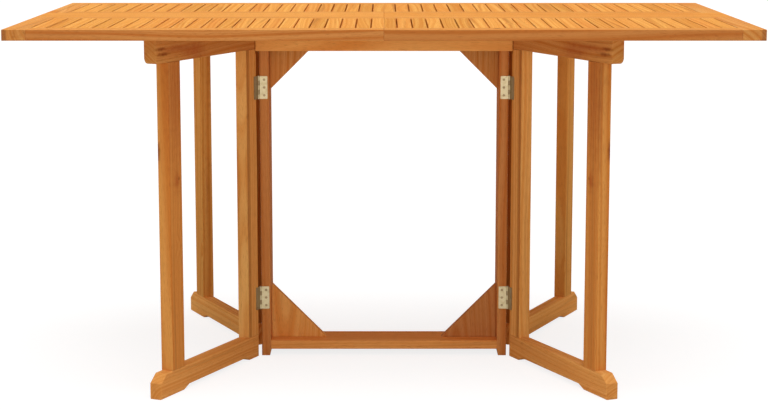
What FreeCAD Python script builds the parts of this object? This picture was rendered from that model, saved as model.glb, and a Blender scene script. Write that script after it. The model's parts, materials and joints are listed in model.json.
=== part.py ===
import FreeCAD, Part
import os
from collections import namedtuple
from types import SimpleNamespace

import Sketcher

# Butterfly folding table in solid wood, built as a parametric document in millimetres.
#
# The origin is on the floor under the middle of the table. X runs along the table, Y across it
# and Z up. A narrow frame stands on the XZ plane and carries a fixed middle strip. Four gates
# hinge on its stiles and swing out under two slatted flaps, which hinge on the strip's edges.
#
# The table is the same on both sides of the XZ and YZ planes, so each repeated piece is drawn
# once, at the back right (X and Y positive), and mirrored to its other places.

DOC = FreeCAD.newDocument("ButterflyTable")
SHEET = DOC.addObject("Spreadsheet::Sheet", "Sizes")

DRIVING_SIZES = (
    ("table_length", 1500, "overall, along X"),
    ("table_width", 900, "overall with both flaps up, along Y"),
    ("table_height", 750, "floor to tabletop"),
    ("board_thick", 22, "thickness of the tabletop boards"),
    ("rail_width", 47, "width of the flap's rails"),
    ("strip_reach", 65, "half width of the fixed strip"),
    ("strip_gap", 3, "open joint between the two rows of strip boards"),
    ("flap_start", 68, "distance of the flap's inner edge from the middle"),
    ("slat_thick", 14, "thickness of the slats"),
    ("slat_width", 27.7, "width of a slat"),
    ("slat_gap", 3, "gap beside each slat"),
    ("slat_count", 22, "full slats in each half of a flap"),
    ("seam_slat_width", 24.5, "width of the slat beside the middle seam"),
    ("ledge_width", 10, "ledge of the rails under the slat ends"),
    ("arris", 1.2, "rounding of the tabletop boards"),
    ("slat_arris", 0.8, "rounding of the slats"),
    ("leg_arris", 2.5, "rounding of the legs and frame boards"),
    ("stile_near", 250, "inner face of a frame stile"),
    ("stile_thick", 20.5, "thickness of a frame stile"),
    ("stile_reach", 49, "half depth of a frame stile"),
    ("toe_taper", 2.5, "taper of the stile's foot below the stretcher"),
    ("stretcher_reach", 47.5, "half depth of the stretchers"),
    ("stretcher_thick", 19, "thickness of the stretchers"),
    ("stretcher_lift", 14, "floor to the bottom stretcher"),
    ("brace_side", 122, "short sides of the corner braces"),
    ("brace_thick", 20, "thickness of the corner braces"),
    ("apron_end", 277.5, "half length of the aprons"),
    ("apron_thick", 14, "thickness of the aprons"),
    ("apron_height", 52, "height of the aprons"),
    ("bearer_end", 690, "outer end of the strip's bearers"),
    ("bearer_reach", 18, "half width of the bearers"),
    ("bearer_height", 25, "height of the bearers"),
    ("gate_axis_x", 272, "gate pin from the middle, along X"),
    ("gate_axis_y", 50.5, "gate pin from the middle, along Y"),
    ("gate_angle", 24.5, "opened gate from the Y axis, in degrees"),
    ("gate_thick", 27, "thickness of the gate's boards"),
    ("gate_start", 7, "gate pin to the gate's wood"),
    ("gate_reach", 426, "gate pin to the end of the gate's rails"),
    ("gate_stile_width", 45, "width of the gate's inner stile"),
    ("gate_leg_start", 330, "gate pin to the outer leg"),
    ("gate_leg_width", 50, "width of the outer leg"),
    ("gate_rail_start", 11, "gate pin to the top rail, clear of the apron"),
    ("gate_rail_height", 47.5, "height of the gate's top rail"),
    ("gate_clearance", 0.5, "gate to the underside of the tabletop"),
    ("gate_notch", 10, "height of the stile's notch beside the apron"),
    ("rail_corner", 13, "rounded lower corner of the top rail"),
    ("foot_height", 50, "height of the foot rail"),
    ("foot_arch", 8, "height of the hollow under the foot rail"),
    ("foot_inner_pad", 48, "gate pin to the end of the inner pad"),
    ("foot_outer_pad", 333, "gate pin to the start of the outer pad"),
    ("foot_slope", 21, "length of the slopes at the hollow's ends"),
    ("foot_corner_run", 22, "length of the cut corner at the foot's outer end"),
    ("foot_corner_drop", 17, "height of that cut corner"),
    ("tenon_thick", 9, "thickness of the tenons"),
    ("tenon_width", 24, "width of the tenons"),
    ("tenon_length", 24, "length of the leg tenons"),
    ("rail_tenon_length", 20, "length of the flap rails' tenons"),
    ("tongue_half_length", 30, "half length of the loose tongues at the seam"),
    ("mortise_slack", 0.5, "extra depth of each mortise"),
    ("stop_near", 34, "gate pin to the near end of the stop block"),
    ("stop_length", 36, "length of the stop block"),
    ("stop_thick", 20, "thickness of the stop block"),
    ("stop_height", 15, "height of the stop block"),
    ("stop_clearance", 0.3, "opened gate to its stop block"),
    ("plate_length", 50, "hinge plate along its pin"),
    ("plate_width", 16.5, "hinge plate across its pin"),
    ("plate_corner", 2, "rounded corners of the hinge plates"),
    ("plate_thick", 1.5, "thickness of the hinge plates"),
    ("plate_clearance", 0.2, "hinge plate to the other plate's knuckles"),
    ("knuckle_radius", 2.5, "outside of the hinge knuckles"),
    ("knuckle_gap", 0.2, "axial play between knuckles"),
    ("bore_radius", 1.25, "bore of the knuckles"),
    ("pin_radius", 1.2, "hinge pin"),
    ("pin_head_radius", 2, "head of the hinge pin"),
    ("pin_head_height", 0.8, "height of the pin's head"),
    ("plate_screw_offset", 12, "hinge pin to the row of screws"),
    ("plate_screw_pitch", 17, "distance between the screws of a plate"),
    ("plate_screw_inset", 8, "end of a plate to its first screw"),
    ("gate_hinge_low", 106, "floor to the lower gate hinge"),
    ("gate_hinge_spread", 465, "lower to upper gate hinge"),
    ("flap_axis_y", 66.5, "flap pin from the middle"),
    ("flap_axis_z", 730.5, "floor to the flap pin"),
    ("flap_hinge_near", 325, "middle to the nearer flap hinge"),
    ("flap_hinge_spread", 270, "nearer to further flap hinge"),
    ("flap_groove_radius", 2.9, "groove in the boards round the flap's knuckles"),
    ("flap_groove_margin", 1.5, "groove past the ends of the knuckles"),
    ("plate_screw_head", 2.7, "head radius of the hinge screws"),
    ("plate_screw_radius", 1.4, "shank radius of the hinge screws"),
    ("plate_screw_sink", 1.2, "height of the hinge screws' heads"),
    ("plate_screw_length", 14, "length of the hinge screws"),
    ("frame_screw_head", 4.2, "head radius of the frame screws"),
    ("frame_screw_radius", 2, "shank radius of the frame screws"),
    ("frame_screw_sink", 2.8, "height of the frame screws' heads"),
    ("stretcher_screw_length", 60, "screws through a stile into a stretcher"),
    ("stretcher_screw_y", 28, "those screws from the middle"),
    ("brace_screw_length", 45, "screws into a corner brace"),
    ("brace_screw_inset", 58, "those screws from the brace's square corner"),
    ("strip_screw_length", 32, "screws through the top stretcher into the strip"),
    ("strip_screw_near", 70, "those screws from the middle, along X"),
    ("strip_screw_pitch", 110, "distance between them"),
    ("strip_screw_y", 30, "those screws from the middle, along Y"),
    ("bearer_screw_length", 38, "screws through a bearer into the strip"),
    ("bearer_screw_near", 330, "nearest of those screws"),
    ("bearer_screw_pitch", 150, "distance between them"),
    ("bearer_screw_y", 10, "those screws from the middle, along Y"),
    ("recess_width", 0.7, "slot width of a cross recess"),
    ("screw_slack", 0.06, "screw to the wall of its hole"),
    ("screw_tip", 3, "length of a screw's point"),
    ("screw_tip_radius", 0.3, "radius at the very end of a screw's point"),
    ("cut_margin", 2, "how far a cut runs past the wood"),
)
KNUCKLES = 5
PLATE_SCREWS = 3
STRIP_SCREWS = 2
BEARER_SCREWS = 3
GATE_HINGES = 2
FLAP_HINGES = 2
TOUCHING = 1e-6  # mm; places nearer than this are the same place
LEAST_CUT = 1e-3  # mm3; a cut that takes less than this has missed the wood
CUBIC_CENTIMETRE = 1000
EXPORT_FOLDER = "parts"


class Size:
    """A number that also keeps its formula of spreadsheet cells, so that both stay together."""

    def __init__(self, formula, number):
        self.formula = formula
        self.number = number

    def __add__(self, other):
        other = as_size(other)
        return Size(f"({self.formula} + {other.formula})", self.number + other.number)

    def __sub__(self, other):
        other = as_size(other)
        return Size(f"({self.formula} - {other.formula})", self.number - other.number)

    def __mul__(self, other):
        other = as_size(other)
        return Size(f"({self.formula} * {other.formula})", self.number * other.number)

    def __truediv__(self, other):
        other = as_size(other)
        return Size(f"({self.formula} / {other.formula})", self.number / other.number)

    def __neg__(self):
        return Size(f"(-1 * {self.formula})", -self.number)

    def __radd__(self, other):
        return as_size(other) + self

    def __rsub__(self, other):
        return as_size(other) - self

    def __rmul__(self, other):
        return as_size(other) * self


def as_size(value):
    """Turns a plain number into a Size; a Size stays as it is."""
    return value if isinstance(value, Size) else Size(str(value), value)


def fill_sheet():
    """Writes the driving sizes into the spreadsheet and returns one Size for each alias."""
    sizes = {}
    for row, (alias, number, note) in enumerate(DRIVING_SIZES, start=1):
        SHEET.set(f"A{row}", note)
        SHEET.set(f"B{row}", str(number))
        SHEET.setAlias(f"B{row}", alias)
        sizes[alias] = Size(f"Sizes.{alias}", number)
    DOC.recompute()
    return SimpleNamespace(**sizes)


S = fill_sheet()

# Levels and places that follow from the driving sizes.
UNDERSIDE = S.table_height - S.board_thick
SLAT_LOW = S.table_height - S.slat_thick
EDGE = S.table_width / 2
END = S.table_length / 2
END_RAIL_NEAR = END - S.rail_width
STILE_FAR = S.stile_near + S.stile_thick
STRETCHER_TOP = S.stretcher_lift + S.stretcher_thick
UPPER_STRETCHER_LOW = UNDERSIDE - S.stretcher_thick
GATE_TOP = UNDERSIDE - S.gate_clearance
GATE_RAIL_LOW = GATE_TOP - S.gate_rail_height
GATE_FACE = -S.plate_thick
GATE_BACK = GATE_FACE - S.gate_thick
TENON_MID_Z = UNDERSIDE + S.board_thick / 2
PLATE_NEAR = S.knuckle_radius + S.plate_clearance
BRACE_SCREW_X = S.stile_near - S.brace_screw_inset

Screw = namedtuple("Screw", "head radius sink length")
PLATE_SCREW = Screw(
    S.plate_screw_head, S.plate_screw_radius, S.plate_screw_sink, S.plate_screw_length
)
STRETCHER_SCREW = Screw(
    S.frame_screw_head, S.frame_screw_radius, S.frame_screw_sink, S.stretcher_screw_length
)
BRACE_SCREW = STRETCHER_SCREW._replace(length=S.brace_screw_length)
STRIP_SCREW = STRETCHER_SCREW._replace(length=S.strip_screw_length)
BEARER_SCREW = STRETCHER_SCREW._replace(length=S.bearer_screw_length)

AXES = "xyz"
UNIT = {
    "+x": (1, 0, 0),
    "-x": (-1, 0, 0),
    "+y": (0, 1, 0),
    "-y": (0, -1, 0),
    "+z": (0, 0, 1),
    "-z": (0, 0, -1),
}
NODES = []


# ---------------------------------------------------------------- building helpers


def keep(sub_part):
    """Marks an object as a sub-part of the table, to be checked and exported."""
    NODES.append(sub_part)
    return sub_part


def bind(target, prop, size):
    """Drives one property from the spreadsheet."""
    target.setExpression(prop, as_size(size).formula)


def bind_base(target, point):
    """Drives an object's position from the spreadsheet."""
    for axis, size in zip(AXES, point):
        bind(target, f"Placement.Base.{axis}", size)


def new_body(name):
    """An empty body whose label is the sub-part's name."""
    return DOC.addObject("PartDesign::Body", name)


def origin_feature(body, role):
    """One of the body's own origin planes or axes."""
    return next(item for item in body.Origin.OriginFeatures if item.Role == role)


def add_block(body, name, x, y, z, kind="Additive"):
    """A box between low and high sizes along each axis, added to the body or cut from it."""
    block = body.newObject(f"PartDesign::{kind}Box", name)
    for prop, (low, high) in zip(("Length", "Width", "Height"), (x, y, z)):
        bind(block, prop, high - low)
    bind_base(block, (x[0], y[0], z[0]))
    return block


def cut_block(body, name, x, y, z):
    """A box cut from the body."""
    return add_block(body, name, x, y, z, kind="Subtractive")


def add_round(body, name, at, heading, length, radius, end_radius=None, kind="Additive"):
    """A cylinder, or a cone when end_radius is given, that starts at a point and runs along heading."""
    form = "Cylinder" if end_radius is None else "Cone"
    part = body.newObject(f"PartDesign::{kind}{form}", name)
    turn = FreeCAD.Rotation(FreeCAD.Vector(0, 0, 1), FreeCAD.Vector(*UNIT[heading]))
    part.Placement = FreeCAD.Placement(FreeCAD.Vector(), turn)
    bind_base(part, at)
    bind(part, "Height", length)
    bind(part, "Radius" if end_radius is None else "Radius1", radius)
    if end_radius is not None:
        bind(part, "Radius2", end_radius)
    return part


def along(at, heading, distance):
    """The point at a distance from another, along a heading."""
    return tuple(size + step * distance if step else size for size, step in zip(at, UNIT[heading]))


def add_outline(body, name, plane, points, offset, length):
    """Pads a closed outline, drawn on an origin plane moved by offset, along the plane's normal."""
    sketch = body.newObject("Sketcher::SketchObject", f"{name}_outline")
    sketch.AttachmentSupport = [(origin_feature(body, plane), "")]
    sketch.MapMode = "FlatFace"
    bind(sketch, "AttachmentOffset.Base.z", offset)
    corners = [FreeCAD.Vector(a.number, b.number, 0) for a, b in points]
    for index, corner in enumerate(corners):
        sketch.addGeometry(Part.LineSegment(corner, corners[(index + 1) % len(corners)]), False)
    for index, (a, b) in enumerate(points):
        before = (index - 1) % len(points)
        sketch.addConstraint(Sketcher.Constraint("Coincident", before, 2, index, 1))
        for kind, axis, size in (("DistanceX", -2, a), ("DistanceY", -1, b)):
            pin_coordinate(sketch, kind, axis, index, size)
    pad = body.newObject("PartDesign::Pad", name)
    pad.Profile = sketch
    bind(pad, "Length", length)
    DOC.recompute()
    return pad


def pin_coordinate(sketch, kind, axis, index, size):
    """Fixes one coordinate of a line's start: on the sketch's axis, or at a size from it."""
    if size.number == 0:
        sketch.addConstraint(Sketcher.Constraint("PointOnObject", index, 1, axis))
        return
    number = sketch.addConstraint(Sketcher.Constraint(kind, index, 1, size.number))
    label = f"{kind}_{index}"
    sketch.renameConstraint(number, label)
    bind(sketch, f"Constraints.{label}", size)


def ends(edge):
    """Both end points of an edge."""
    return edge.Vertexes[0].Point, edge.Vertexes[-1].Point


def runs_along(axis):
    """Picks the straight edges that are parallel to an axis."""
    others = [AXES.index(letter) for letter in AXES if letter != axis]
    return lambda edge: all(abs(ends(edge)[0][i] - ends(edge)[1][i]) < TOUCHING for i in others)


def lies_across(axis):
    """Picks the edges of an outline: both ends at the same place along the axis."""
    i = AXES.index(axis)
    return lambda edge: abs(ends(edge)[0][i] - ends(edge)[1][i]) < TOUCHING


def lies_at(axis, place):
    """Picks the edges that lie wholly at one place along an axis."""
    i = AXES.index(axis)
    return lambda edge: all(abs(point[i] - place.number) < TOUCHING for point in ends(edge))


def both(first, second):
    """Picks the edges that two rules pick."""
    return lambda edge: first(edge) and second(edge)


def either(first, second):
    """Picks the edges that one of two rules picks."""
    return lambda edge: first(edge) or second(edge)


def every_edge(edge):
    """Picks every edge."""
    return True


def above(level):
    """Picks the edges that lie wholly above a level."""
    return lambda edge: min(p.z for p in ends(edge)) > level.number


def ease(body, base, radius, pick):
    """Rounds the edges of a feature that the rule picks."""
    DOC.recompute()
    names = [f"Edge{i}" for i, edge in enumerate(base.Shape.Edges, start=1) if pick(edge)]
    fillet = body.newObject("PartDesign::Fillet", f"{base.Name}_eased")
    fillet.Base = (base, names)
    bind(fillet, "Radius", radius)
    DOC.recompute()
    return fillet


def repeat(body, features, *steps):
    """Repeats features, or the whole body when none are given.

    Each step is (axis, spacing, count) for a row along that axis, or "XZ" or "YZ" for a mirror.
    """
    chain = body.newObject("PartDesign::MultiTransform", f"{body.Name}_repeat")
    chain.TransformMode = "Features" if features else "Whole shape"
    if features:
        chain.Originals = features
    chain.Transformations = [repeat_step(body, step) for step in steps]
    body.Tip = chain
    DOC.recompute()
    return chain


def repeat_step(body, step):
    """One row or mirror of a chain of repeats."""
    if isinstance(step, str):
        mirror = body.newObject("PartDesign::Mirrored", f"{body.Name}_mirror")
        mirror.MirrorPlane = (origin_feature(body, f"{step}_Plane"), [""])
        return mirror
    axis, spacing, count = step
    row = body.newObject("PartDesign::LinearPattern", f"{body.Name}_row")
    row.Direction = (origin_feature(body, f"{axis.upper()}_Axis"), [""])
    row.Mode = "Spacing"
    bind(row, "Offset", spacing)
    bind(row, "Occurrences", count)
    return row


def mirror(source, name, normal):
    """The mirror image of an object in the plane through the origin with this normal axis."""
    image = DOC.addObject("Part::Mirroring", name)
    image.Source = source
    image.Base = FreeCAD.Vector(0, 0, 0)
    image.Normal = FreeCAD.Vector(*UNIT[f"+{normal}"])
    DOC.recompute()
    return image


def group(name, members):
    """Several separate solids as one sub-part."""
    compound = DOC.addObject("Part::Compound", name)
    compound.Links = members
    DOC.recompute()
    return compound


def keep_left_and_right(source, stem):
    """Keeps a right-hand piece and its left-hand image, named stem_right and stem_left."""
    source.Label = f"{stem}_right"
    keep(source)
    return source, keep(mirror(source, f"{stem}_left", "x"))


def keep_back_and_front(source, pattern):
    """Keeps a back piece and its front image; the pattern holds {side} where the side goes."""
    source.Label = pattern.format(side="back")
    keep(source)
    return source, keep(mirror(source, pattern.format(side="front"), "y"))


def keep_at_four_corners(source, pattern):
    """Keeps a back right piece and its three images; the pattern holds {side} and {hand}."""
    source.Label = pattern.format(side="back", hand="right")
    keep(source)
    keep(mirror(source, pattern.format(side="back", hand="left"), "x"))
    front = keep(mirror(source, pattern.format(side="front", hand="right"), "y"))
    keep(mirror(front, pattern.format(side="front", hand="left"), "x"))


# ---------------------------------------------------------------- screws and their holes


def add_screw(body, name, at, heading, screw):
    """A countersunk screw with a cross recess; at is the middle of its head's flat face."""
    shank = along(at, heading, screw.sink)
    tip = along(at, heading, screw.length - S.screw_tip)
    add_round(body, f"{name}_head", at, heading, screw.sink, screw.head, screw.radius)
    shank_length = screw.length - screw.sink - S.screw_tip
    add_round(body, f"{name}_shank", shank, heading, shank_length, screw.radius)
    add_round(body, f"{name}_tip", tip, heading, S.screw_tip, screw.radius, S.screw_tip_radius)
    for axis in AXES:
        if axis not in heading:
            cut_slot(body, f"{name}_slot_{axis}", at, heading, axis, screw)


def cut_slot(body, name, at, heading, axis, screw):
    """One slot of the cross recess, along an axis."""
    deep = along(at, heading, screw.sink / 2)
    spans = []
    for letter, near, far in zip(AXES, at, deep):
        if letter in heading:
            spans.append((near, far) if heading[0] == "+" else (far, near))
        else:
            half = screw.head / 2 if letter == axis else S.recess_width / 2
            spans.append((near - half, near + half))
    return cut_block(body, name, *spans)


def cut_sink(body, name, at, heading, screw):
    """The countersink of a screw's head."""
    wide = screw.head + S.screw_slack
    narrow = screw.radius + S.screw_slack
    return add_round(body, name, at, heading, screw.sink, wide, narrow, kind="Subtractive")


def cut_hole(body, name, at, heading, depth, screw):
    """The round hole of a screw's shank."""
    return add_round(body, name, at, heading, depth, screw.radius + S.screw_slack, kind="Subtractive")


# ---------------------------------------------------------------- the standing frame


def stretcher_levels():
    """Middle heights of the bottom and top stretchers."""
    return S.stretcher_lift + S.stretcher_thick / 2, UNDERSIDE - S.stretcher_thick / 2


def brace_screw_levels():
    """Heights of the screws that reach the lower and upper braces through a stile."""
    return STRETCHER_TOP + S.brace_side / 2, UPPER_STRETCHER_LOW - S.brace_side / 2


def build_stiles():
    """The two uprights, tapered at the foot, with the holes of the gate hinges and joints."""
    body = new_body("frame_stile")
    toe = S.stile_near + S.toe_taper
    zero = as_size(0)
    outline = (
        (toe, zero),
        (STILE_FAR, zero),
        (STILE_FAR, UNDERSIDE),
        (S.stile_near, UNDERSIDE),
        (S.stile_near, S.stretcher_lift),
    )
    depth = S.stile_reach * 2
    upright = add_outline(body, "Upright", "XZ_Plane", outline, -S.stile_reach, depth)
    ease(body, upright, S.leg_arris, both(lies_across("y"), runs_along("z")))
    at = (S.gate_axis_x - S.plate_screw_offset, S.stile_reach, S.gate_hinge_low + S.plate_screw_inset)
    pilot_depth = S.plate_screw_length - S.plate_thick + S.mortise_slack
    pilot = cut_hole(body, "Hinge_pilot", at, "-y", pilot_depth, PLATE_SCREW)
    rows = (("z", S.plate_screw_pitch, PLATE_SCREWS), ("z", S.gate_hinge_spread, GATE_HINGES))
    repeat(body, [pilot], *rows, "XZ")
    for index, level in enumerate(stretcher_levels()):
        at = (STILE_FAR, S.stretcher_screw_y, level)
        hole = cut_hole(body, f"Stretcher_hole_{index}", at, "-x", S.stile_thick, STRETCHER_SCREW)
        sink = cut_sink(body, f"Stretcher_sink_{index}", at, "-x", STRETCHER_SCREW)
        repeat(body, [hole, sink], "XZ")
    for index, level in enumerate(brace_screw_levels()):
        at = (STILE_FAR, as_size(0), level)
        cut_hole(body, f"Brace_hole_{index}", at, "-x", S.stile_thick, BRACE_SCREW)
        cut_sink(body, f"Brace_sink_{index}", at, "-x", BRACE_SCREW)
    keep_left_and_right(body, "frame_stile")


def build_stretchers():
    """The boards that join the stiles at the foot and under the strip."""
    x = (-S.stile_near, S.stile_near)
    y = (-S.stretcher_reach, S.stretcher_reach)
    bottom = new_body("bottom_stretcher")
    block = add_block(bottom, "Bottom_board", x, y, (S.stretcher_lift, STRETCHER_TOP))
    ease(bottom, block, S.arris, runs_along("x"))
    brace_at = (BRACE_SCREW_X, as_size(0), S.stretcher_lift)
    drill_stretcher(bottom, stretcher_levels()[0], brace_at, "+z")
    top = new_body("top_stretcher")
    block = add_block(top, "Top_board", x, y, (UPPER_STRETCHER_LOW, UNDERSIDE))
    ease(top, block, S.arris, runs_along("x"))
    brace_at = (BRACE_SCREW_X, as_size(0), UNDERSIDE)
    drill_stretcher(top, stretcher_levels()[1], brace_at, "-z")
    strip_at = (S.strip_screw_near, S.strip_screw_y, UPPER_STRETCHER_LOW)
    hole = cut_hole(top, "Strip_hole", strip_at, "+z", S.stretcher_thick, STRIP_SCREW)
    sink = cut_sink(top, "Strip_sink", strip_at, "+z", STRIP_SCREW)
    repeat(top, [hole, sink], ("x", S.strip_screw_pitch, STRIP_SCREWS), "YZ", "XZ")
    keep(bottom)
    keep(top)


def drill_stretcher(body, level, brace_at, heading):
    """The end holes and the brace screws' holes of one stretcher."""
    end_at = (S.stile_near, S.stretcher_screw_y, level)
    depth = S.stretcher_screw_length - S.stile_thick + S.mortise_slack
    pilot = cut_hole(body, f"{body.Name}_end_pilot", end_at, "-x", depth, STRETCHER_SCREW)
    repeat(body, [pilot], "YZ", "XZ")
    hole = cut_hole(body, f"{body.Name}_brace_hole", brace_at, heading, S.stretcher_thick, BRACE_SCREW)
    sink = cut_sink(body, f"{body.Name}_brace_sink", brace_at, heading, BRACE_SCREW)
    repeat(body, [hole, sink], "YZ")


def build_brace(name, corner_level, tip_level, side_screw_level, heading):
    """One triangular corner brace between a stile and a stretcher, and its left-hand image."""
    body = new_body(name)
    outline = (
        (S.stile_near, corner_level),
        (S.stile_near, tip_level),
        (S.stile_near - S.brace_side, corner_level),
    )
    pad = add_outline(body, f"{name}_panel", "XZ_Plane", outline, -(S.brace_thick / 2), S.brace_thick)
    ease(body, pad, S.arris, lies_across("y"))
    side_at = (S.stile_near, as_size(0), side_screw_level)
    side_depth = S.brace_screw_length - S.stile_thick + S.mortise_slack
    cut_hole(body, f"{name}_side_pilot", side_at, "-x", side_depth, BRACE_SCREW)
    flat_at = (BRACE_SCREW_X, as_size(0), corner_level)
    flat_depth = S.brace_screw_length - S.stretcher_thick + S.mortise_slack
    cut_hole(body, f"{name}_flat_pilot", flat_at, heading, flat_depth, BRACE_SCREW)
    keep_left_and_right(body, name)


def build_braces():
    """The four corner braces of the frame."""
    low_screw, high_screw = brace_screw_levels()
    low_tip = STRETCHER_TOP + S.brace_side
    high_tip = UPPER_STRETCHER_LOW - S.brace_side
    build_brace("corner_brace_lower", STRETCHER_TOP, low_tip, low_screw, "+z")
    build_brace("corner_brace_upper", UPPER_STRETCHER_LOW, high_tip, high_screw, "-z")


def build_aprons():
    """The two boards that cap the stiles at the front and back, under the strip's edges."""
    body = new_body("apron")
    x = (-S.apron_end, S.apron_end)
    y = (S.stile_reach, S.stile_reach + S.apron_thick)
    block = add_block(body, "Apron_board", x, y, (UNDERSIDE - S.apron_height, UNDERSIDE))
    ease(body, block, S.arris, every_edge)
    keep_back_and_front(body, "apron_{side}")


# ---------------------------------------------------------------- the fixed strip


def cut_flap_hinge_seats(body, low, high):
    """Lets two flap hinges into a board's underside, between low and high across the pin."""
    z = (UNDERSIDE - S.plate_thick, UNDERSIDE + S.plate_thick)
    length = S.plate_length + S.flap_groove_margin * 2
    for index in range(FLAP_HINGES):
        start = S.flap_hinge_near + S.flap_hinge_spread * index
        x = (start - S.plate_clearance, start + S.plate_length + S.plate_clearance)
        cut_block(body, f"{body.Name}_seat_{index}", x, (low, high), z)
        at = (start - S.flap_groove_margin, S.flap_axis_y, S.flap_axis_z)
        name = f"{body.Name}_groove_{index}"
        add_round(body, name, at, "+x", length, S.flap_groove_radius, kind="Subtractive")


def cut_flap_hinge_pilots(body, across):
    """The pilot holes of two flap hinges' screws in a board's underside."""
    at = (S.flap_hinge_near + S.plate_screw_inset, across, UNDERSIDE + S.plate_thick)
    depth = S.plate_screw_length - S.plate_thick + S.mortise_slack
    pilot = cut_hole(body, f"{body.Name}_pilot", at, "+z", depth, PLATE_SCREW)
    rows = (("x", S.plate_screw_pitch, PLATE_SCREWS), ("x", S.flap_hinge_spread, FLAP_HINGES))
    repeat(body, [pilot], *rows)


def build_strip_boards():
    """The four boards of the fixed strip, butted end to end at the middle."""
    body = new_body("strip_board")
    y = (S.strip_gap / 2, S.strip_reach)
    block = add_block(body, "Strip_plank", (as_size(0), END), y, (UNDERSIDE, S.table_height))
    ease(body, block, S.arris, every_edge)
    near = S.flap_axis_y - PLATE_NEAR - S.plate_width - S.plate_clearance
    cut_flap_hinge_seats(body, near, S.strip_reach + S.plate_thick)
    cut_flap_hinge_pilots(body, S.flap_axis_y - S.plate_screw_offset)
    strip_at = (S.strip_screw_near, S.strip_screw_y, UNDERSIDE)
    strip_depth = S.strip_screw_length - S.stretcher_thick + S.mortise_slack
    pilot = cut_hole(body, "Strip_pilot", strip_at, "+z", strip_depth, STRIP_SCREW)
    repeat(body, [pilot], ("x", S.strip_screw_pitch, STRIP_SCREWS))
    bearer_at = (S.bearer_screw_near, S.bearer_screw_y, UNDERSIDE)
    bearer_depth = S.bearer_screw_length - S.bearer_height + S.mortise_slack
    pilot = cut_hole(body, "Bearer_pilot", bearer_at, "+z", bearer_depth, BEARER_SCREW)
    repeat(body, [pilot], ("x", S.bearer_screw_pitch, BEARER_SCREWS))
    keep_at_four_corners(body, "strip_board_{side}_{hand}")


def build_bearers():
    """The two bearers that tie the strip's boards together beyond the stiles."""
    body = new_body("bearer_right")
    x = (STILE_FAR, S.bearer_end)
    y = (-S.bearer_reach, S.bearer_reach)
    low = UNDERSIDE - S.bearer_height
    block = add_block(body, "Bearer_board", x, y, (low, UNDERSIDE))
    ease(body, block, S.arris, runs_along("x"))
    at = (S.bearer_screw_near, S.bearer_screw_y, low)
    hole = cut_hole(body, "Bearer_hole", at, "+z", S.bearer_height, BEARER_SCREW)
    sink = cut_sink(body, "Bearer_sink", at, "+z", BEARER_SCREW)
    repeat(body, [hole, sink], ("x", S.bearer_screw_pitch, BEARER_SCREWS), "XZ")
    keep(group("strip_bearers", [body, mirror(body, "bearer_left", "x")]))


# ---------------------------------------------------------------- the gates


def hang_on_gate_pin(piece):
    """Turns a gate's piece, drawn along X from the pin, to the opened gate's place."""
    upright_turn = FreeCAD.Rotation(FreeCAD.Vector(0, 0, 1), 1)  # a turn of 0 forgets its axis
    piece.Placement = FreeCAD.Placement(FreeCAD.Vector(), upright_turn)
    bind_base(piece, (S.gate_axis_x, S.gate_axis_y, as_size(0)))
    bind(piece, "Placement.Rotation.Angle", 90 - S.gate_angle)
    return piece


def tenon_section(start, width):
    """The spans along and across a gate of a tenon in the middle of an upright."""
    middle = start + width / 2
    centre = (GATE_FACE + GATE_BACK) / 2
    x = (middle - S.tenon_width / 2, middle + S.tenon_width / 2)
    y = (centre - S.tenon_thick / 2, centre + S.tenon_thick / 2)
    return x, y


def build_gate_upright(name, start, width):
    """An upright of a gate, with a tenon at each end."""
    body = new_body(name)
    z = (S.foot_height, GATE_RAIL_LOW)
    block = add_block(body, f"{name}_post", (start, start + width), (GATE_BACK, GATE_FACE), z)
    ease(body, block, S.leg_arris, runs_along("z"))
    x, y = tenon_section(start, width)
    add_block(body, f"{name}_tenons", x, y, (z[0] - S.tenon_length, z[1] + S.tenon_length))
    return hang_on_gate_pin(body)


def build_gate_rail(name, outline, mortise):
    """A rail of a gate from its side outline, with the mortises of both uprights."""
    body = new_body(name)
    pad = add_outline(body, f"{name}_plank", "XZ_Plane", outline, -GATE_FACE, S.gate_thick)
    corner = (S.gate_reach, GATE_RAIL_LOW)
    if corner in outline:
        at_corner = both(lies_at("x", corner[0]), lies_at("z", corner[1]))
        pad = ease(body, pad, S.rail_corner, at_corner)
    ease(body, pad, S.leg_arris, lies_across("y"))
    uprights = ((S.gate_start, S.gate_stile_width), (S.gate_leg_start, S.gate_leg_width))
    for index, (start, width) in enumerate(uprights):
        x, y = tenon_section(start, width)
        cut_block(body, f"{name}_mortise_{index}", x, y, mortise)
    return hang_on_gate_pin(body)


def foot_outline():
    """The foot rail from the side: two pads, a shallow hollow between them and a cut corner."""
    zero = as_size(0)
    return (
        (S.gate_start, zero),
        (S.foot_inner_pad, zero),
        (S.foot_inner_pad + S.foot_slope, S.foot_arch),
        (S.foot_outer_pad - S.foot_slope, S.foot_arch),
        (S.foot_outer_pad, zero),
        (S.gate_reach, zero),
        (S.gate_reach, S.foot_height - S.foot_corner_drop),
        (S.gate_reach - S.foot_corner_run, S.foot_height),
        (S.gate_start, S.foot_height),
    )


def top_rail_outline():
    """The top rail from the side."""
    return (
        (S.gate_rail_start, GATE_RAIL_LOW),
        (S.gate_reach, GATE_RAIL_LOW),
        (S.gate_reach, GATE_TOP),
        (S.gate_rail_start, GATE_TOP),
    )


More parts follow.
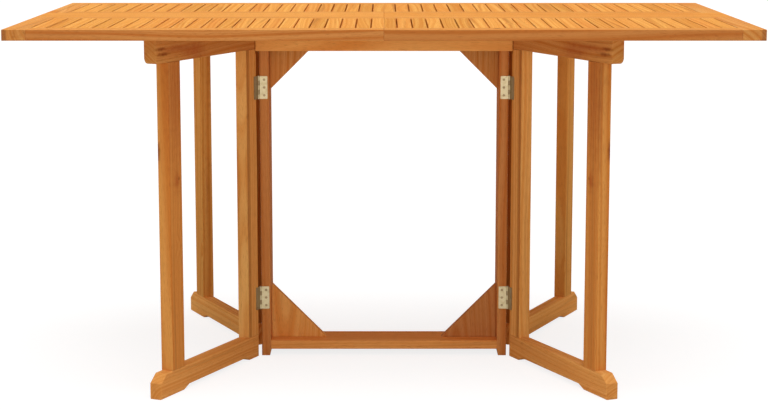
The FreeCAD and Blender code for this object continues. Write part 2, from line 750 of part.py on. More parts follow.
def finish_inner_stile(body):
    """Cuts the notch beside the apron and the pilot holes of the hinge plates."""
    x = (S.gate_start - S.cut_margin, S.gate_rail_start)
    y = (GATE_BACK - S.cut_margin, GATE_FACE + S.cut_margin)
    cut_block(body, "Apron_notch", x, y, (GATE_RAIL_LOW - S.gate_notch, GATE_RAIL_LOW))
    at = (S.plate_screw_offset, GATE_FACE, S.gate_hinge_low + S.plate_screw_inset)
    depth = S.plate_screw_length - S.plate_thick + S.mortise_slack
    pilot = cut_hole(body, "Gate_pilot", at, "-y", depth, PLATE_SCREW)
    rows = (("z", S.plate_screw_pitch, PLATE_SCREWS), ("z", S.gate_hinge_spread, GATE_HINGES))
    repeat(body, [pilot], *rows)


def build_gates():
    """The four gates: two rails, two uprights and two hinge halves each."""
    stile = build_gate_upright("gate_inner_stile", S.gate_start, S.gate_stile_width)
    finish_inner_stile(stile)
    leg = build_gate_upright("gate_outer_leg", S.gate_leg_start, S.gate_leg_width)
    foot_mortise = (S.foot_height - S.tenon_length - S.mortise_slack, S.foot_height)
    foot = build_gate_rail("gate_foot_rail", foot_outline(), foot_mortise)
    top_mortise = (GATE_RAIL_LOW, GATE_RAIL_LOW + S.tenon_length + S.mortise_slack)
    rail = build_gate_rail("gate_top_rail", top_rail_outline(), top_mortise)
    plates = build_gate_plates()
    for piece in (rail, foot, stile, leg, plates):
        keep_at_four_corners(piece, "{side}_{hand}_" + piece.Name)


# ---------------------------------------------------------------- hinges

HingeFrame = namedtuple("HingeFrame", "axis start away pin face outward")


def hinge_spans(hinge, first, last, near, far):
    """Spans of a plate's part: first to last along the pin and near to far away from it."""
    sign = 1 if hinge.away[0] == "+" else -1
    across = (hinge.pin + near, hinge.pin + far) if sign > 0 else (hinge.pin - far, hinge.pin - near)
    spans = {hinge.axis: (hinge.start + first, hinge.start + last), hinge.away[1]: across}
    return [spans.get(letter, hinge.face) for letter in AXES]


def pin_point(hinge, level, first):
    """The point on the pin's axis at a distance from the plate's end."""
    places = {hinge.axis: hinge.start + first, hinge.away[1]: hinge.pin}
    return tuple(places.get(letter, level) for letter in AXES)


def build_plate(name, hinge, level, segments):
    """One hinge plate: flat leaf, tabs, knuckles on the given segments, bore and screw holes."""
    body = new_body(name)
    zero = as_size(0)
    far = PLATE_NEAR + S.plate_width
    spans = hinge_spans(hinge, zero, S.plate_length, PLATE_NEAR, far)
    leaf = add_block(body, f"{name}_leaf", *spans)
    side = AXES.index(hinge.away[1])
    outer_end = spans[side][1 if hinge.away[0] == "+" else 0]
    corners = both(runs_along(hinge.outward[1]), lies_at(hinge.away[1], outer_end))
    ease(body, leaf, S.plate_corner, corners)
    pitch = S.plate_length / KNUCKLES
    for index in segments:
        first = pitch * index + S.knuckle_gap / 2
        last = pitch * (index + 1) - S.knuckle_gap / 2
        add_block(body, f"{name}_tab_{index}", *hinge_spans(hinge, first, last, zero, PLATE_NEAR))
        at = pin_point(hinge, level, first)
        heading = f"+{hinge.axis}"
        add_round(body, f"{name}_knuckle_{index}", at, heading, last - first, S.knuckle_radius)
    start = pin_point(hinge, level, zero)
    add_round(
        body, f"{name}_bore", start, f"+{hinge.axis}", S.plate_length, S.bore_radius, kind="Subtractive"
    )
    cut_plate_holes(body, name, hinge)
    return body


def plate_screw_point(hinge):
    """The head of a plate's first screw, on the plate's open side."""
    sign = 1 if hinge.away[0] == "+" else -1
    surface = hinge.face[1] if hinge.outward[0] == "+" else hinge.face[0]
    places = {
        hinge.axis: hinge.start + S.plate_screw_inset,
        hinge.away[1]: hinge.pin + sign * S.plate_screw_offset,
    }
    return tuple(places.get(letter, surface) for letter in AXES)


def inward(hinge):
    """The heading of a plate's screws."""
    return ("-" if hinge.outward[0] == "+" else "+") + hinge.outward[1]


def cut_plate_holes(body, name, hinge):
    """The countersunk holes of one plate."""
    at = plate_screw_point(hinge)
    hole = cut_hole(body, f"{name}_hole", at, inward(hinge), S.plate_thick, PLATE_SCREW)
    sink = cut_sink(body, f"{name}_sink", at, inward(hinge), PLATE_SCREW)
    repeat(body, [hole, sink], (hinge.axis, S.plate_screw_pitch, PLATE_SCREWS))


def build_plate_screws(name, hinge, *steps):
    """The screws of one plate, repeated with the plate."""
    body = new_body(name)
    add_screw(body, f"{name}_screw", plate_screw_point(hinge), inward(hinge), PLATE_SCREW)
    repeat(body, None, (hinge.axis, S.plate_screw_pitch, PLATE_SCREWS), *steps)
    return body


def build_pins(name, hinge, level, *steps):
    """A headed hinge pin, repeated with its hinge."""
    body = new_body(name)
    heading = f"+{hinge.axis}"
    low = pin_point(hinge, level, -S.pin_head_height)
    high = pin_point(hinge, level, S.plate_length)
    length = S.plate_length + S.pin_head_height * 2
    add_round(body, f"{name}_shaft", low, heading, length, S.pin_radius)
    for index, at in enumerate((low, high)):
        add_round(body, f"{name}_head_{index}", at, heading, S.pin_head_height, S.pin_head_radius)
    repeat(body, None, *steps)
    return body


FIXED_SEGMENTS = (0, 2, 4)
MOVING_SEGMENTS = (1, 3)
GATE_HINGE_STEPS = (("z", S.gate_hinge_spread, GATE_HINGES),)
FLAP_HINGE_STEPS = (("x", S.flap_hinge_spread, FLAP_HINGES), "YZ")


def build_gate_plates():
    """The gate's halves of its two hinges, with their screws, in the gate's own frame."""
    face = (GATE_FACE, as_size(0))
    hinge = HingeFrame("z", S.gate_hinge_low, "+x", as_size(0), face, "+y")
    plates = build_plate("gate_plates", hinge, as_size(0), MOVING_SEGMENTS)
    repeat(plates, None, *GATE_HINGE_STEPS)
    screws = build_plate_screws("gate_plate_screws", hinge, *GATE_HINGE_STEPS)
    return group("gate_hinge_plates", [hang_on_gate_pin(plates), hang_on_gate_pin(screws)])


def build_fixed_gate_hinges():
    """The frame's halves of the eight gate hinges, and their pins."""
    face = (S.stile_reach, S.stile_reach + S.plate_thick)
    hinge = HingeFrame("z", S.gate_hinge_low, "-x", S.gate_axis_x, face, "+y")
    steps = (*GATE_HINGE_STEPS, "YZ", "XZ")
    plates = build_plate("gate_hinge_fixed_plates", hinge, S.gate_axis_y, FIXED_SEGMENTS)
    repeat(plates, None, *steps)
    keep(plates)
    keep(build_pins("gate_hinge_pins", hinge, S.gate_axis_y, *steps))
    return build_plate_screws("gate_fixed_screws", hinge, *steps)


def build_flap_hinges():
    """The eight flap hinges: the strip's halves, the pins, and the flaps' halves with screws."""
    face = (UNDERSIDE, UNDERSIDE + S.plate_thick)
    strip = HingeFrame("x", S.flap_hinge_near, "-y", S.flap_axis_y, face, "-z")
    steps = (*FLAP_HINGE_STEPS, "XZ")
    plates = build_plate("flap_hinge_fixed_plates", strip, S.flap_axis_z, FIXED_SEGMENTS)
    repeat(plates, None, *steps)
    keep(plates)
    keep(build_pins("flap_hinge_pins", strip, S.flap_axis_z, *steps))
    flap = strip._replace(away="+y")
    moving = build_plate("flap_plates", flap, S.flap_axis_z, MOVING_SEGMENTS)
    repeat(moving, None, *FLAP_HINGE_STEPS)
    moving_screws = build_plate_screws("flap_plate_screws", flap, *FLAP_HINGE_STEPS)
    keep_back_and_front(group("flap_hinge_plates", [moving, moving_screws]), "{side}_flap_hinge_plates")
    return build_plate_screws("strip_plate_screws", strip, *steps)


# ---------------------------------------------------------------- frame screws


def build_screw_set(name, at, heading, screw, *steps):
    """One kind of frame screw and its repeats."""
    body = new_body(name)
    add_screw(body, f"{name}_screw", at, heading, screw)
    repeat(body, None, *steps)
    return body


def build_frame_screws():
    """Every screw that joins the boards of the frame and the strip."""
    zero = as_size(0)
    sets = []
    for index, level in enumerate(stretcher_levels()):
        at = (STILE_FAR, S.stretcher_screw_y, level)
        sets.append(build_screw_set(f"stretcher_screws_{index}", at, "-x", STRETCHER_SCREW, "YZ", "XZ"))
    for index, level in enumerate(brace_screw_levels()):
        at = (STILE_FAR, zero, level)
        sets.append(build_screw_set(f"side_screws_{index}", at, "-x", BRACE_SCREW, "YZ"))
    low = (BRACE_SCREW_X, zero, S.stretcher_lift)
    sets.append(build_screw_set("brace_screws_low", low, "+z", BRACE_SCREW, "YZ"))
    high = (BRACE_SCREW_X, zero, UNDERSIDE)
    sets.append(build_screw_set("brace_screws_high", high, "-z", BRACE_SCREW, "YZ"))
    at = (S.strip_screw_near, S.strip_screw_y, UPPER_STRETCHER_LOW)
    row = ("x", S.strip_screw_pitch, STRIP_SCREWS)
    sets.append(build_screw_set("strip_screws", at, "+z", STRIP_SCREW, row, "YZ", "XZ"))
    at = (S.bearer_screw_near, S.bearer_screw_y, UNDERSIDE - S.bearer_height)
    row = ("x", S.bearer_screw_pitch, BEARER_SCREWS)
    sets.append(build_screw_set("bearer_screws", at, "+z", BEARER_SCREW, row, "YZ", "XZ"))
    return sets


# ---------------------------------------------------------------- the flaps


def rail_tenon(middle):
    """The spans across and up of the tenon or tongue of a flap rail."""
    y = (middle - S.tenon_width / 2, middle + S.tenon_width / 2)
    z = (TENON_MID_Z - S.tenon_thick / 2, TENON_MID_Z + S.tenon_thick / 2)
    return y, z


def build_ledge_rail(name, outer, inner, ledge):
    """A flap rail along X: full thickness from outer to inner, and a thin ledge beyond."""
    body = new_body(name)
    outline = (
        (outer, UNDERSIDE),
        (ledge, UNDERSIDE),
        (ledge, SLAT_LOW),
        (inner, SLAT_LOW),
        (inner, S.table_height),
        (outer, S.table_height),
    )
    zero = as_size(0)
    pad = add_outline(body, f"{name}_plank", "YZ_Plane", outline, zero, END_RAIL_NEAR)
    ease(body, pad, S.arris, either(lies_at("y", outer), lies_at("z", S.table_height)))
    y, z = rail_tenon((outer + inner) / 2)
    tenon_x = (END_RAIL_NEAR - S.tenon_width, END_RAIL_NEAR + S.rail_tenon_length)
    add_block(body, f"{name}_tenon", tenon_x, y, z)
    cut_block(body, f"{name}_mortise", (zero, S.tongue_half_length + S.mortise_slack), y, z)
    return body


def build_flap_rails():
    """The rails round a flap: edge and inner rails in two lengths, and the end rails."""
    edge_inner = EDGE - S.rail_width
    edge_rail = build_ledge_rail("edge_rail", EDGE, edge_inner, edge_inner - S.ledge_width)
    inner_far = S.flap_start + S.rail_width
    inner_rail = build_ledge_rail("inner_rail", S.flap_start, inner_far, inner_far + S.ledge_width)
    far = S.flap_axis_y + PLATE_NEAR + S.plate_width + S.plate_clearance
    cut_flap_hinge_seats(inner_rail, S.flap_start - S.plate_thick, far)
    cut_flap_hinge_pilots(inner_rail, S.flap_axis_y + S.plate_screw_offset)
    end_rail = new_body("end_rail")
    z = (UNDERSIDE, S.table_height)
    block = add_block(end_rail, "End_plank", (END_RAIL_NEAR, END), (S.flap_start, EDGE), z)
    ease(end_rail, block, S.arris, every_edge)
    mortise_x = (END_RAIL_NEAR, END_RAIL_NEAR + S.rail_tenon_length + S.mortise_slack)
    for index, middle in enumerate(((S.flap_start + inner_far) / 2, (EDGE + edge_inner) / 2)):
        cut_block(end_rail, f"End_mortise_{index}", mortise_x, *rail_tenon(middle))
    for rail in (edge_rail, inner_rail, end_rail):
        keep_at_four_corners(rail, "{side}_flap_" + rail.Name + "_{hand}")


def build_slats():
    """A flap's slats: a narrow one on each side of the seam and a row of full ones."""
    y = (S.flap_start + S.rail_width, EDGE - S.rail_width)
    z = (SLAT_LOW, S.table_height)
    zero = as_size(0)
    row = new_body("slat_row")
    first = S.seam_slat_width + S.slat_gap
    block = add_block(row, "Slat", (first, first + S.slat_width), y, z)
    ease(row, block, S.slat_arris, both(runs_along("y"), above(SLAT_LOW)))
    repeat(row, None, ("x", S.slat_width + S.slat_gap, S.slat_count))
    seam = new_body("seam_slat")
    block = add_block(seam, "Seam_slat", (zero, S.seam_slat_width), y, z)
    ease(seam, block, S.slat_arris, both(runs_along("y"), above(SLAT_LOW)))
    members = [row, seam, mirror(row, "slat_row_left", "x"), mirror(seam, "seam_slat_left", "x")]
    keep_back_and_front(group("flap_slats", members), "{side}_flap_slats")


def build_seam_splices():
    """What ties a flap's two halves: loose tongues in the rails and a flat cleat under the slats."""
    inner_far = S.flap_start + S.rail_width
    edge_inner = EDGE - S.rail_width
    x = (-S.tongue_half_length, S.tongue_half_length)
    members = []
    middles = ((S.flap_start + inner_far) / 2, (EDGE + edge_inner) / 2)
    for index, middle in enumerate(middles):
        tongue = new_body(f"seam_tongue_{index}")
        add_block(tongue, f"Tongue_{index}", x, *rail_tenon(middle))
        members.append(tongue)
    cleat = new_body("seam_cleat")
    y = (inner_far + S.ledge_width, edge_inner - S.ledge_width)
    add_block(cleat, "Cleat", (-S.seam_slat_width, S.seam_slat_width), y, (UNDERSIDE, SLAT_LOW))
    members.append(cleat)
    keep_back_and_front(group("seam_splices", members), "{side}_flap_seam_splices")


def build_stop_blocks():
    """Two blocks under a flap's inner rail that stop the opened gates."""
    body = new_body("stop_block")
    x = (S.stop_near, S.stop_near + S.stop_length)
    near = GATE_FACE + S.stop_clearance
    z = (UNDERSIDE - S.stop_height, UNDERSIDE)
    block = add_block(body, "Stop", x, (near, near + S.stop_thick), z)
    ease(body, block, S.arris, runs_along("z"))
    hang_on_gate_pin(body)
    members = [body, mirror(body, "stop_block_left", "x")]
    keep_back_and_front(group("stop_blocks", members), "{side}_flap_stop_blocks")


# ---------------------------------------------------------------- checks and export


def check_document():
    """Stops with a message if any object failed, is empty or cuts nothing."""
    DOC.recompute()
    for item in DOC.Objects:
        if "Invalid" in item.State or "Error" in item.State:
            raise RuntimeError(f"{item.Name} failed: {item.State}")
        if "Subtractive" in item.TypeId and item.BaseFeature is not None:
            if item.Shape.Volume > item.BaseFeature.Shape.Volume - LEAST_CUT:
                raise RuntimeError(f"{item.Name} cuts nothing")
    for node in NODES:
        if node.Shape.isNull() or not node.Shape.isValid() or not node.Shape.Solids:
            raise RuntimeError(f"{node.Label} has no valid solid")


def export_nodes():
    """Writes one STEP file for each sub-part."""
    os.makedirs(EXPORT_FOLDER, exist_ok=True)
    for node in NODES:
        node.Shape.exportStep(f"{EXPORT_FOLDER}/{node.Label}.step")
        volume = node.Shape.Volume / CUBIC_CENTIMETRE
        print(f"{node.Label}: {len(node.Shape.Solids)} solids, {volume:.1f} cm3")


build_stiles()
build_stretchers()
build_braces()
build_aprons()
build_strip_boards()
build_bearers()
gate_screws = build_fixed_gate_hinges()
strip_plate_screws = build_flap_hinges()
keep(group("base_screws", [gate_screws, strip_plate_screws, *build_frame_screws()]))
build_gates()
build_flap_rails()
build_slats()
build_seam_splices()
build_stop_blocks()
check_document()
export_nodes()
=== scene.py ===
"""Looks of a butterfly folding table: oiled hardwood boards, brass hinges and steel screws.

Everything is in metres. X runs along the table, Y across it and Z up, and the origin is on the
floor under the middle. The solids keep their places; this script gives them their finishes, adds
the studio around them and reports each piece as it is dressed.
"""

from __future__ import annotations

import json
import logging
import math
from dataclasses import dataclass, field
from enum import Enum

import bpy
import numpy as np
from mathutils import Euler, Matrix, Vector

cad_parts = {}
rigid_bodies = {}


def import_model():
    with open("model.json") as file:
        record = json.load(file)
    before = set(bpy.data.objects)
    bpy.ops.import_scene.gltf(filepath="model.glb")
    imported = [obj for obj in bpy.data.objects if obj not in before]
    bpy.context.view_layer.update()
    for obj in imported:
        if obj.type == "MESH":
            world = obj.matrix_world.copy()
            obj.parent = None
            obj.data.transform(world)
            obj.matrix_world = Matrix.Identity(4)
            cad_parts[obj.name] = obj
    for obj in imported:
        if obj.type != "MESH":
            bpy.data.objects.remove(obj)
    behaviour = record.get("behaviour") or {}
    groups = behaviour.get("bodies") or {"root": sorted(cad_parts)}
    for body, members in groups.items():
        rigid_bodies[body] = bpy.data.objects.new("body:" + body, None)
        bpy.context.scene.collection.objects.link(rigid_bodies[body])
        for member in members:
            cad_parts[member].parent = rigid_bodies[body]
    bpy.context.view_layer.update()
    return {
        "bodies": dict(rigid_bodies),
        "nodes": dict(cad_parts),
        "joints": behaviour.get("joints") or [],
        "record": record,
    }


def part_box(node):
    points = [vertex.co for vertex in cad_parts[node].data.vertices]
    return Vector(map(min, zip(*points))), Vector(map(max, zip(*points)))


LOG = logging.getLogger("folding_table")

Socket = bpy.types.NodeSocket
Colour = tuple[float, float, float, float]
Pair = tuple[float, float]
Triple = tuple[float, float, float]

WHITE: Colour = (1.0, 1.0, 1.0, 1.0)
ORIGIN: Triple = (0.0, 0.0, 0.0)
MID_GREY: Triple = (0.5, 0.5, 0.5)  # the middle value of a noise colour
FACING = 0.7  # least share of a unit normal along an axis for a face to count as facing that way


def display_colour(red: float, green: float, blue: float) -> Colour:
    """Turns a colour as a screen shows it, 0 to 255, into the linear one that shaders take.

    It undoes the standard curve of screens, which is straight near black and a power above that.

    Args:
        red: Red value from 0 to 255.
        green: Green value from 0 to 255.
        blue: Blue value from 0 to 255.

    Returns:
        The linear colour with an alpha of one.
    """
    shown = np.array([red, green, blue]) / 255
    linear = np.where(shown <= 0.04045, shown / 12.92, ((shown + 0.055) / 1.055) ** 2.4)
    return (*(float(value) for value in linear), 1.0)


def in_radians(degrees: Triple) -> Triple:
    """Three angles in degrees, as radians."""
    return tuple(math.radians(angle) for angle in degrees)


def turn_matrix(degrees: Triple) -> Matrix:
    """The rotation by three angles in degrees, about X, then Y, then Z."""
    return Euler(in_radians(degrees)).to_matrix()


# ---------------------------------------------------------------- shader graphs


class Graph:
    """Shorthand for laying out and joining the nodes of one shader tree."""

    def __init__(self, tree: bpy.types.NodeTree) -> None:
        """Keeps the tree that the nodes go into."""
        self.tree = tree

    def add(self, kind: str, **settings: object) -> bpy.types.Node:
        """Adds a node.

        Args:
            kind: Name of the node type, without its ShaderNode prefix.
            **settings: Properties to set on the node.

        Returns:
            The new node.
        """
        node = self.tree.nodes.new(f"ShaderNode{kind}")
        for name, value in settings.items():
            setattr(node, name, value)
        return node

    def feed(self, target: Socket, value: object) -> None:
        """Links a socket into another, or sets a plain value on it.

        Args:
            target: Input socket to feed.
            value: Output socket or plain value.
        """
        if isinstance(value, bpy.types.NodeSocket):
            self.tree.links.new(value, target)
        else:
            target.default_value = value

    def fill(self, node: bpy.types.Node, **values: object) -> bpy.types.Node:
        """Feeds several inputs of a node, named with underscores for spaces.

        Args:
            node: Node to feed.
            **values: Output socket or plain value for each input.

        Returns:
            The same node.
        """
        for name, value in values.items():
            self.feed(node.inputs[name.replace("_", " ")], value)
        return node

    def group(self, tree: bpy.types.NodeTree, **values: object) -> bpy.types.Node:
        """Places a shared group and feeds its inputs."""
        return self.fill(self.add("Group", node_tree=tree), **values)

    def math(self, operation: str, first: object, second: object = 0.0) -> Socket:
        """One number from two.

        Args:
            operation: Name of the operation, in capitals.
            first: First number.
            second: Second number, which an operation on one number ignores.

        Returns:
            The resulting number.
        """
        node = self.add("Math", operation=operation)
        self.feed(node.inputs[0], first)
        self.feed(node.inputs[1], second)
        return node.outputs[0]

    def vector(self, operation: str, first: object, second: object = ORIGIN) -> Socket:
        """One vector or number from two vectors.

        Args:
            operation: Name of the operation, in capitals.
            first: First vector.
            second: Second vector, which an operation on one vector ignores.

        Returns:
            The resulting vector, or the number for a dot product or a length.
        """
        node = self.add("VectorMath", operation=operation)
        self.feed(node.inputs[0], first)
        self.feed(node.inputs[1], second)
        return node.outputs["Value" if operation in ("DOT_PRODUCT", "LENGTH") else "Vector"]

    def split(self, vector: Socket) -> tuple[Socket, Socket, Socket]:
        """Takes a vector apart.

        Args:
            vector: Vector or colour to take apart.

        Returns:
            Its three numbers.
        """
        node = self.fill(self.add("SeparateXYZ"), Vector=vector)
        return node.outputs[0], node.outputs[1], node.outputs[2]

    def join(self, x: object, y: object, z: object) -> Socket:
        """A vector from three numbers."""
        return self.fill(self.add("CombineXYZ"), X=x, Y=y, Z=z).outputs[0]

    def noise(self, vector: Socket, rate: Triple, detail: float) -> bpy.types.Node:
        """Smooth noise on a vector that is first scaled along each axis.

        Args:
            vector: Place to read the noise at.
            rate: Features per metre along X, Y and Z.
            detail: How many finer layers are added.

        Returns:
            The noise node, with its number and its colour as outputs.
        """
        scaled = self.vector("MULTIPLY", vector, rate)
        return self.fill(self.add("TexNoise"), Vector=scaled, Scale=1.0, Detail=detail)

    def scatter(self, vector: Socket, rate: Triple, detail: float, reach: Triple) -> Socket:
        """A smoothly changing vector around nought, for bending or ragging a place.

        Args:
            vector: Place to read it at.
            rate: Features per metre along X, Y and Z.
            detail: How many finer layers are added.
            reach: Full width of the values along X, Y and Z.

        Returns:
            The vector.
        """
        colour = self.noise(vector, rate, detail).outputs["Color"]
        return self.vector("MULTIPLY", self.vector("SUBTRACT", colour, MID_GREY), reach)

    def ramp(self, value: Socket, span: Pair, start: float = 0.0, end: float = 1.0) -> Socket:
        """Moves a number smoothly from start to end while value goes over its span.

        Args:
            value: Number that drives the ramp.
            span: Values at which the ramp starts and ends.
            start: Result below the span.
            end: Result above the span.

        Returns:
            The resulting number.
        """
        node = self.add("MapRange", interpolation_type="SMOOTHSTEP")
        for target, number in zip(node.inputs, (value, *span, start, end)):
            self.feed(target, number)
        return node.outputs[0]

    def mix(self, share: object, first: object, second: object, way: str = "MIX") -> Socket:
        """One colour from two.

        Args:
            share: How much of the second colour is used, from 0 to 1.
            first: Colour under the mix.
            second: Colour that is mixed in.
            way: Name of the blend, in capitals.

        Returns:
            The mixed colour.
        """
        node = self.add("Mix", data_type="RGBA", blend_type=way, clamp_result=False)
        # The colour sockets come after those for numbers and vectors, which have the same names.
        self.feed(node.inputs[0], share)
        self.feed(node.inputs[6], first)
        self.feed(node.inputs[7], second)
        return node.outputs[2]

    def tinted(self, colour: object, tint: object) -> Socket:
        """A colour multiplied by a tint."""
        return self.mix(1.0, colour, tint, "MULTIPLY")

    def turned(self, kind: str, vector: Socket, turn: Triple, **shift: object) -> Socket:
        """Turns a place and shifts it, or turns a normal.

        Args:
            kind: POINT for a place or NORMAL for a normal.
            vector: Place or normal to turn.
            turn: Turn about X, Y and Z in degrees.
            **shift: Location, for a place only: what is added once it is turned.

        Returns:
            The turned vector.
        """
        node = self.add("Mapping", vector_type=kind)
        self.fill(node, Vector=vector, Rotation=in_radians(turn), **shift)
        return node.outputs["Vector"]

    def relief(self, height: Socket, normal: Socket, strength: float, depth: float) -> Socket:
        """Bumps a normal by a height.

        Args:
            height: Height of the surface.
            normal: Normal to bump.
            strength: How much of the bump is used, from 0 to 1.
            depth: Distance in metres that a height of one stands for.

        Returns:
            The bumped normal.
        """
        bump = self.add("Bump")
        self.fill(bump, Height=height, Normal=normal, Strength=strength, Distance=depth)
        return bump.outputs["Normal"]

    def surface(self, kind: str, **values: object) -> Socket:
        """Adds a plain shader with its inputs fed and gives its output."""
        return self.fill(self.add(kind), **values).outputs[0]

    def shown_or_not(self, unseen: Socket, seen: Socket) -> Socket:
        """One shader for what the eye meets and another for the light it sends on.

        Args:
            unseen: Shader for light that bounces.
            seen: Shader for what is seen directly, mirrored or through glass.

        Returns:
            The blended shader.
        """
        path, both = self.add("LightPath"), self.add("MixShader")
        share = self.math("MAXIMUM", path.outputs["Is Camera Ray"], path.outputs["Is Glossy Ray"])
        share = self.math("MAXIMUM", share, path.outputs["Is Transmission Ray"])
        for target, value in zip(both.inputs, (share, unseen, seen)):
            self.feed(target, value)
        return both.outputs[0]


class SocketKind(Enum):
    """Kinds of value that a shared group takes in or puts out."""

    NUMBER = "NodeSocketFloat"
    VECTOR = "NodeSocketVector"
    COLOUR = "NodeSocketColor"


def open_group(
    name: str, inputs: dict[str, SocketKind], outputs: dict[str, SocketKind]
) -> tuple[Graph, dict[str, Socket], bpy.types.Node]:
    """Makes an empty shared node group.

    Args:
        name: Name of the group.
        inputs: Kind of each named input.
        outputs: Kind of each named output.

    Returns:
        The group's graph, its input sockets by name, and its output node.
    """
    tree = bpy.data.node_groups.new(name, "ShaderNodeTree")
    for way, sockets in (("INPUT", inputs), ("OUTPUT", outputs)):
        for label, kind in sockets.items():
            tree.interface.new_socket(name=label, in_out=way, socket_type=kind.value)
    start = tree.nodes.new("NodeGroupInput")
    end = tree.nodes.new("NodeGroupOutput")
    return Graph(tree), {label: start.outputs[label] for label in inputs}, end


def empty_graph(owner: bpy.types.Material | bpy.types.World) -> Graph:
    """Clears the nodes of a material or a world.

    Args:
        owner: What the nodes belong to.

    Returns:
        The graph of its empty tree.
    """
    owner.use_nodes = True
    owner.node_tree.nodes.clear()
    return Graph(owner.node_tree)


def open_material(name: str) -> tuple[bpy.types.Material, Graph, bpy.types.Node]:
    """Makes a material with a bare Principled shader.

    Args:
        name: Name of the material.

    Returns:
        The material, its graph and its shader node.
    """
    material = bpy.data.materials.new(name)
    graph = empty_graph(material)
    shader = graph.add("BsdfPrincipled")
    graph.fill(graph.add("OutputMaterial"), Surface=shader.outputs["BSDF"])
    return material, graph, shader


# ---------------------------------------------------------------- shared effects


@dataclass(frozen=True)
class NoiseLayer:
    """One layer of noise and the mask made of it.

    The mask rises from nought to its strength while the noise goes over its span.
    """

    rate: Triple
    detail: float
    span: Pair
    strength: float = 1.0

    def read(self, graph: Graph, place: Socket) -> Socket:
        """The bare noise at a place."""
        return graph.noise(place, self.rate, self.detail).outputs["Fac"]

    def mask(self, graph: Graph, noise: Socket) -> Socket:
        """The mask made of the layer's noise."""
        return graph.ramp(noise, self.span, 0.0, self.strength)


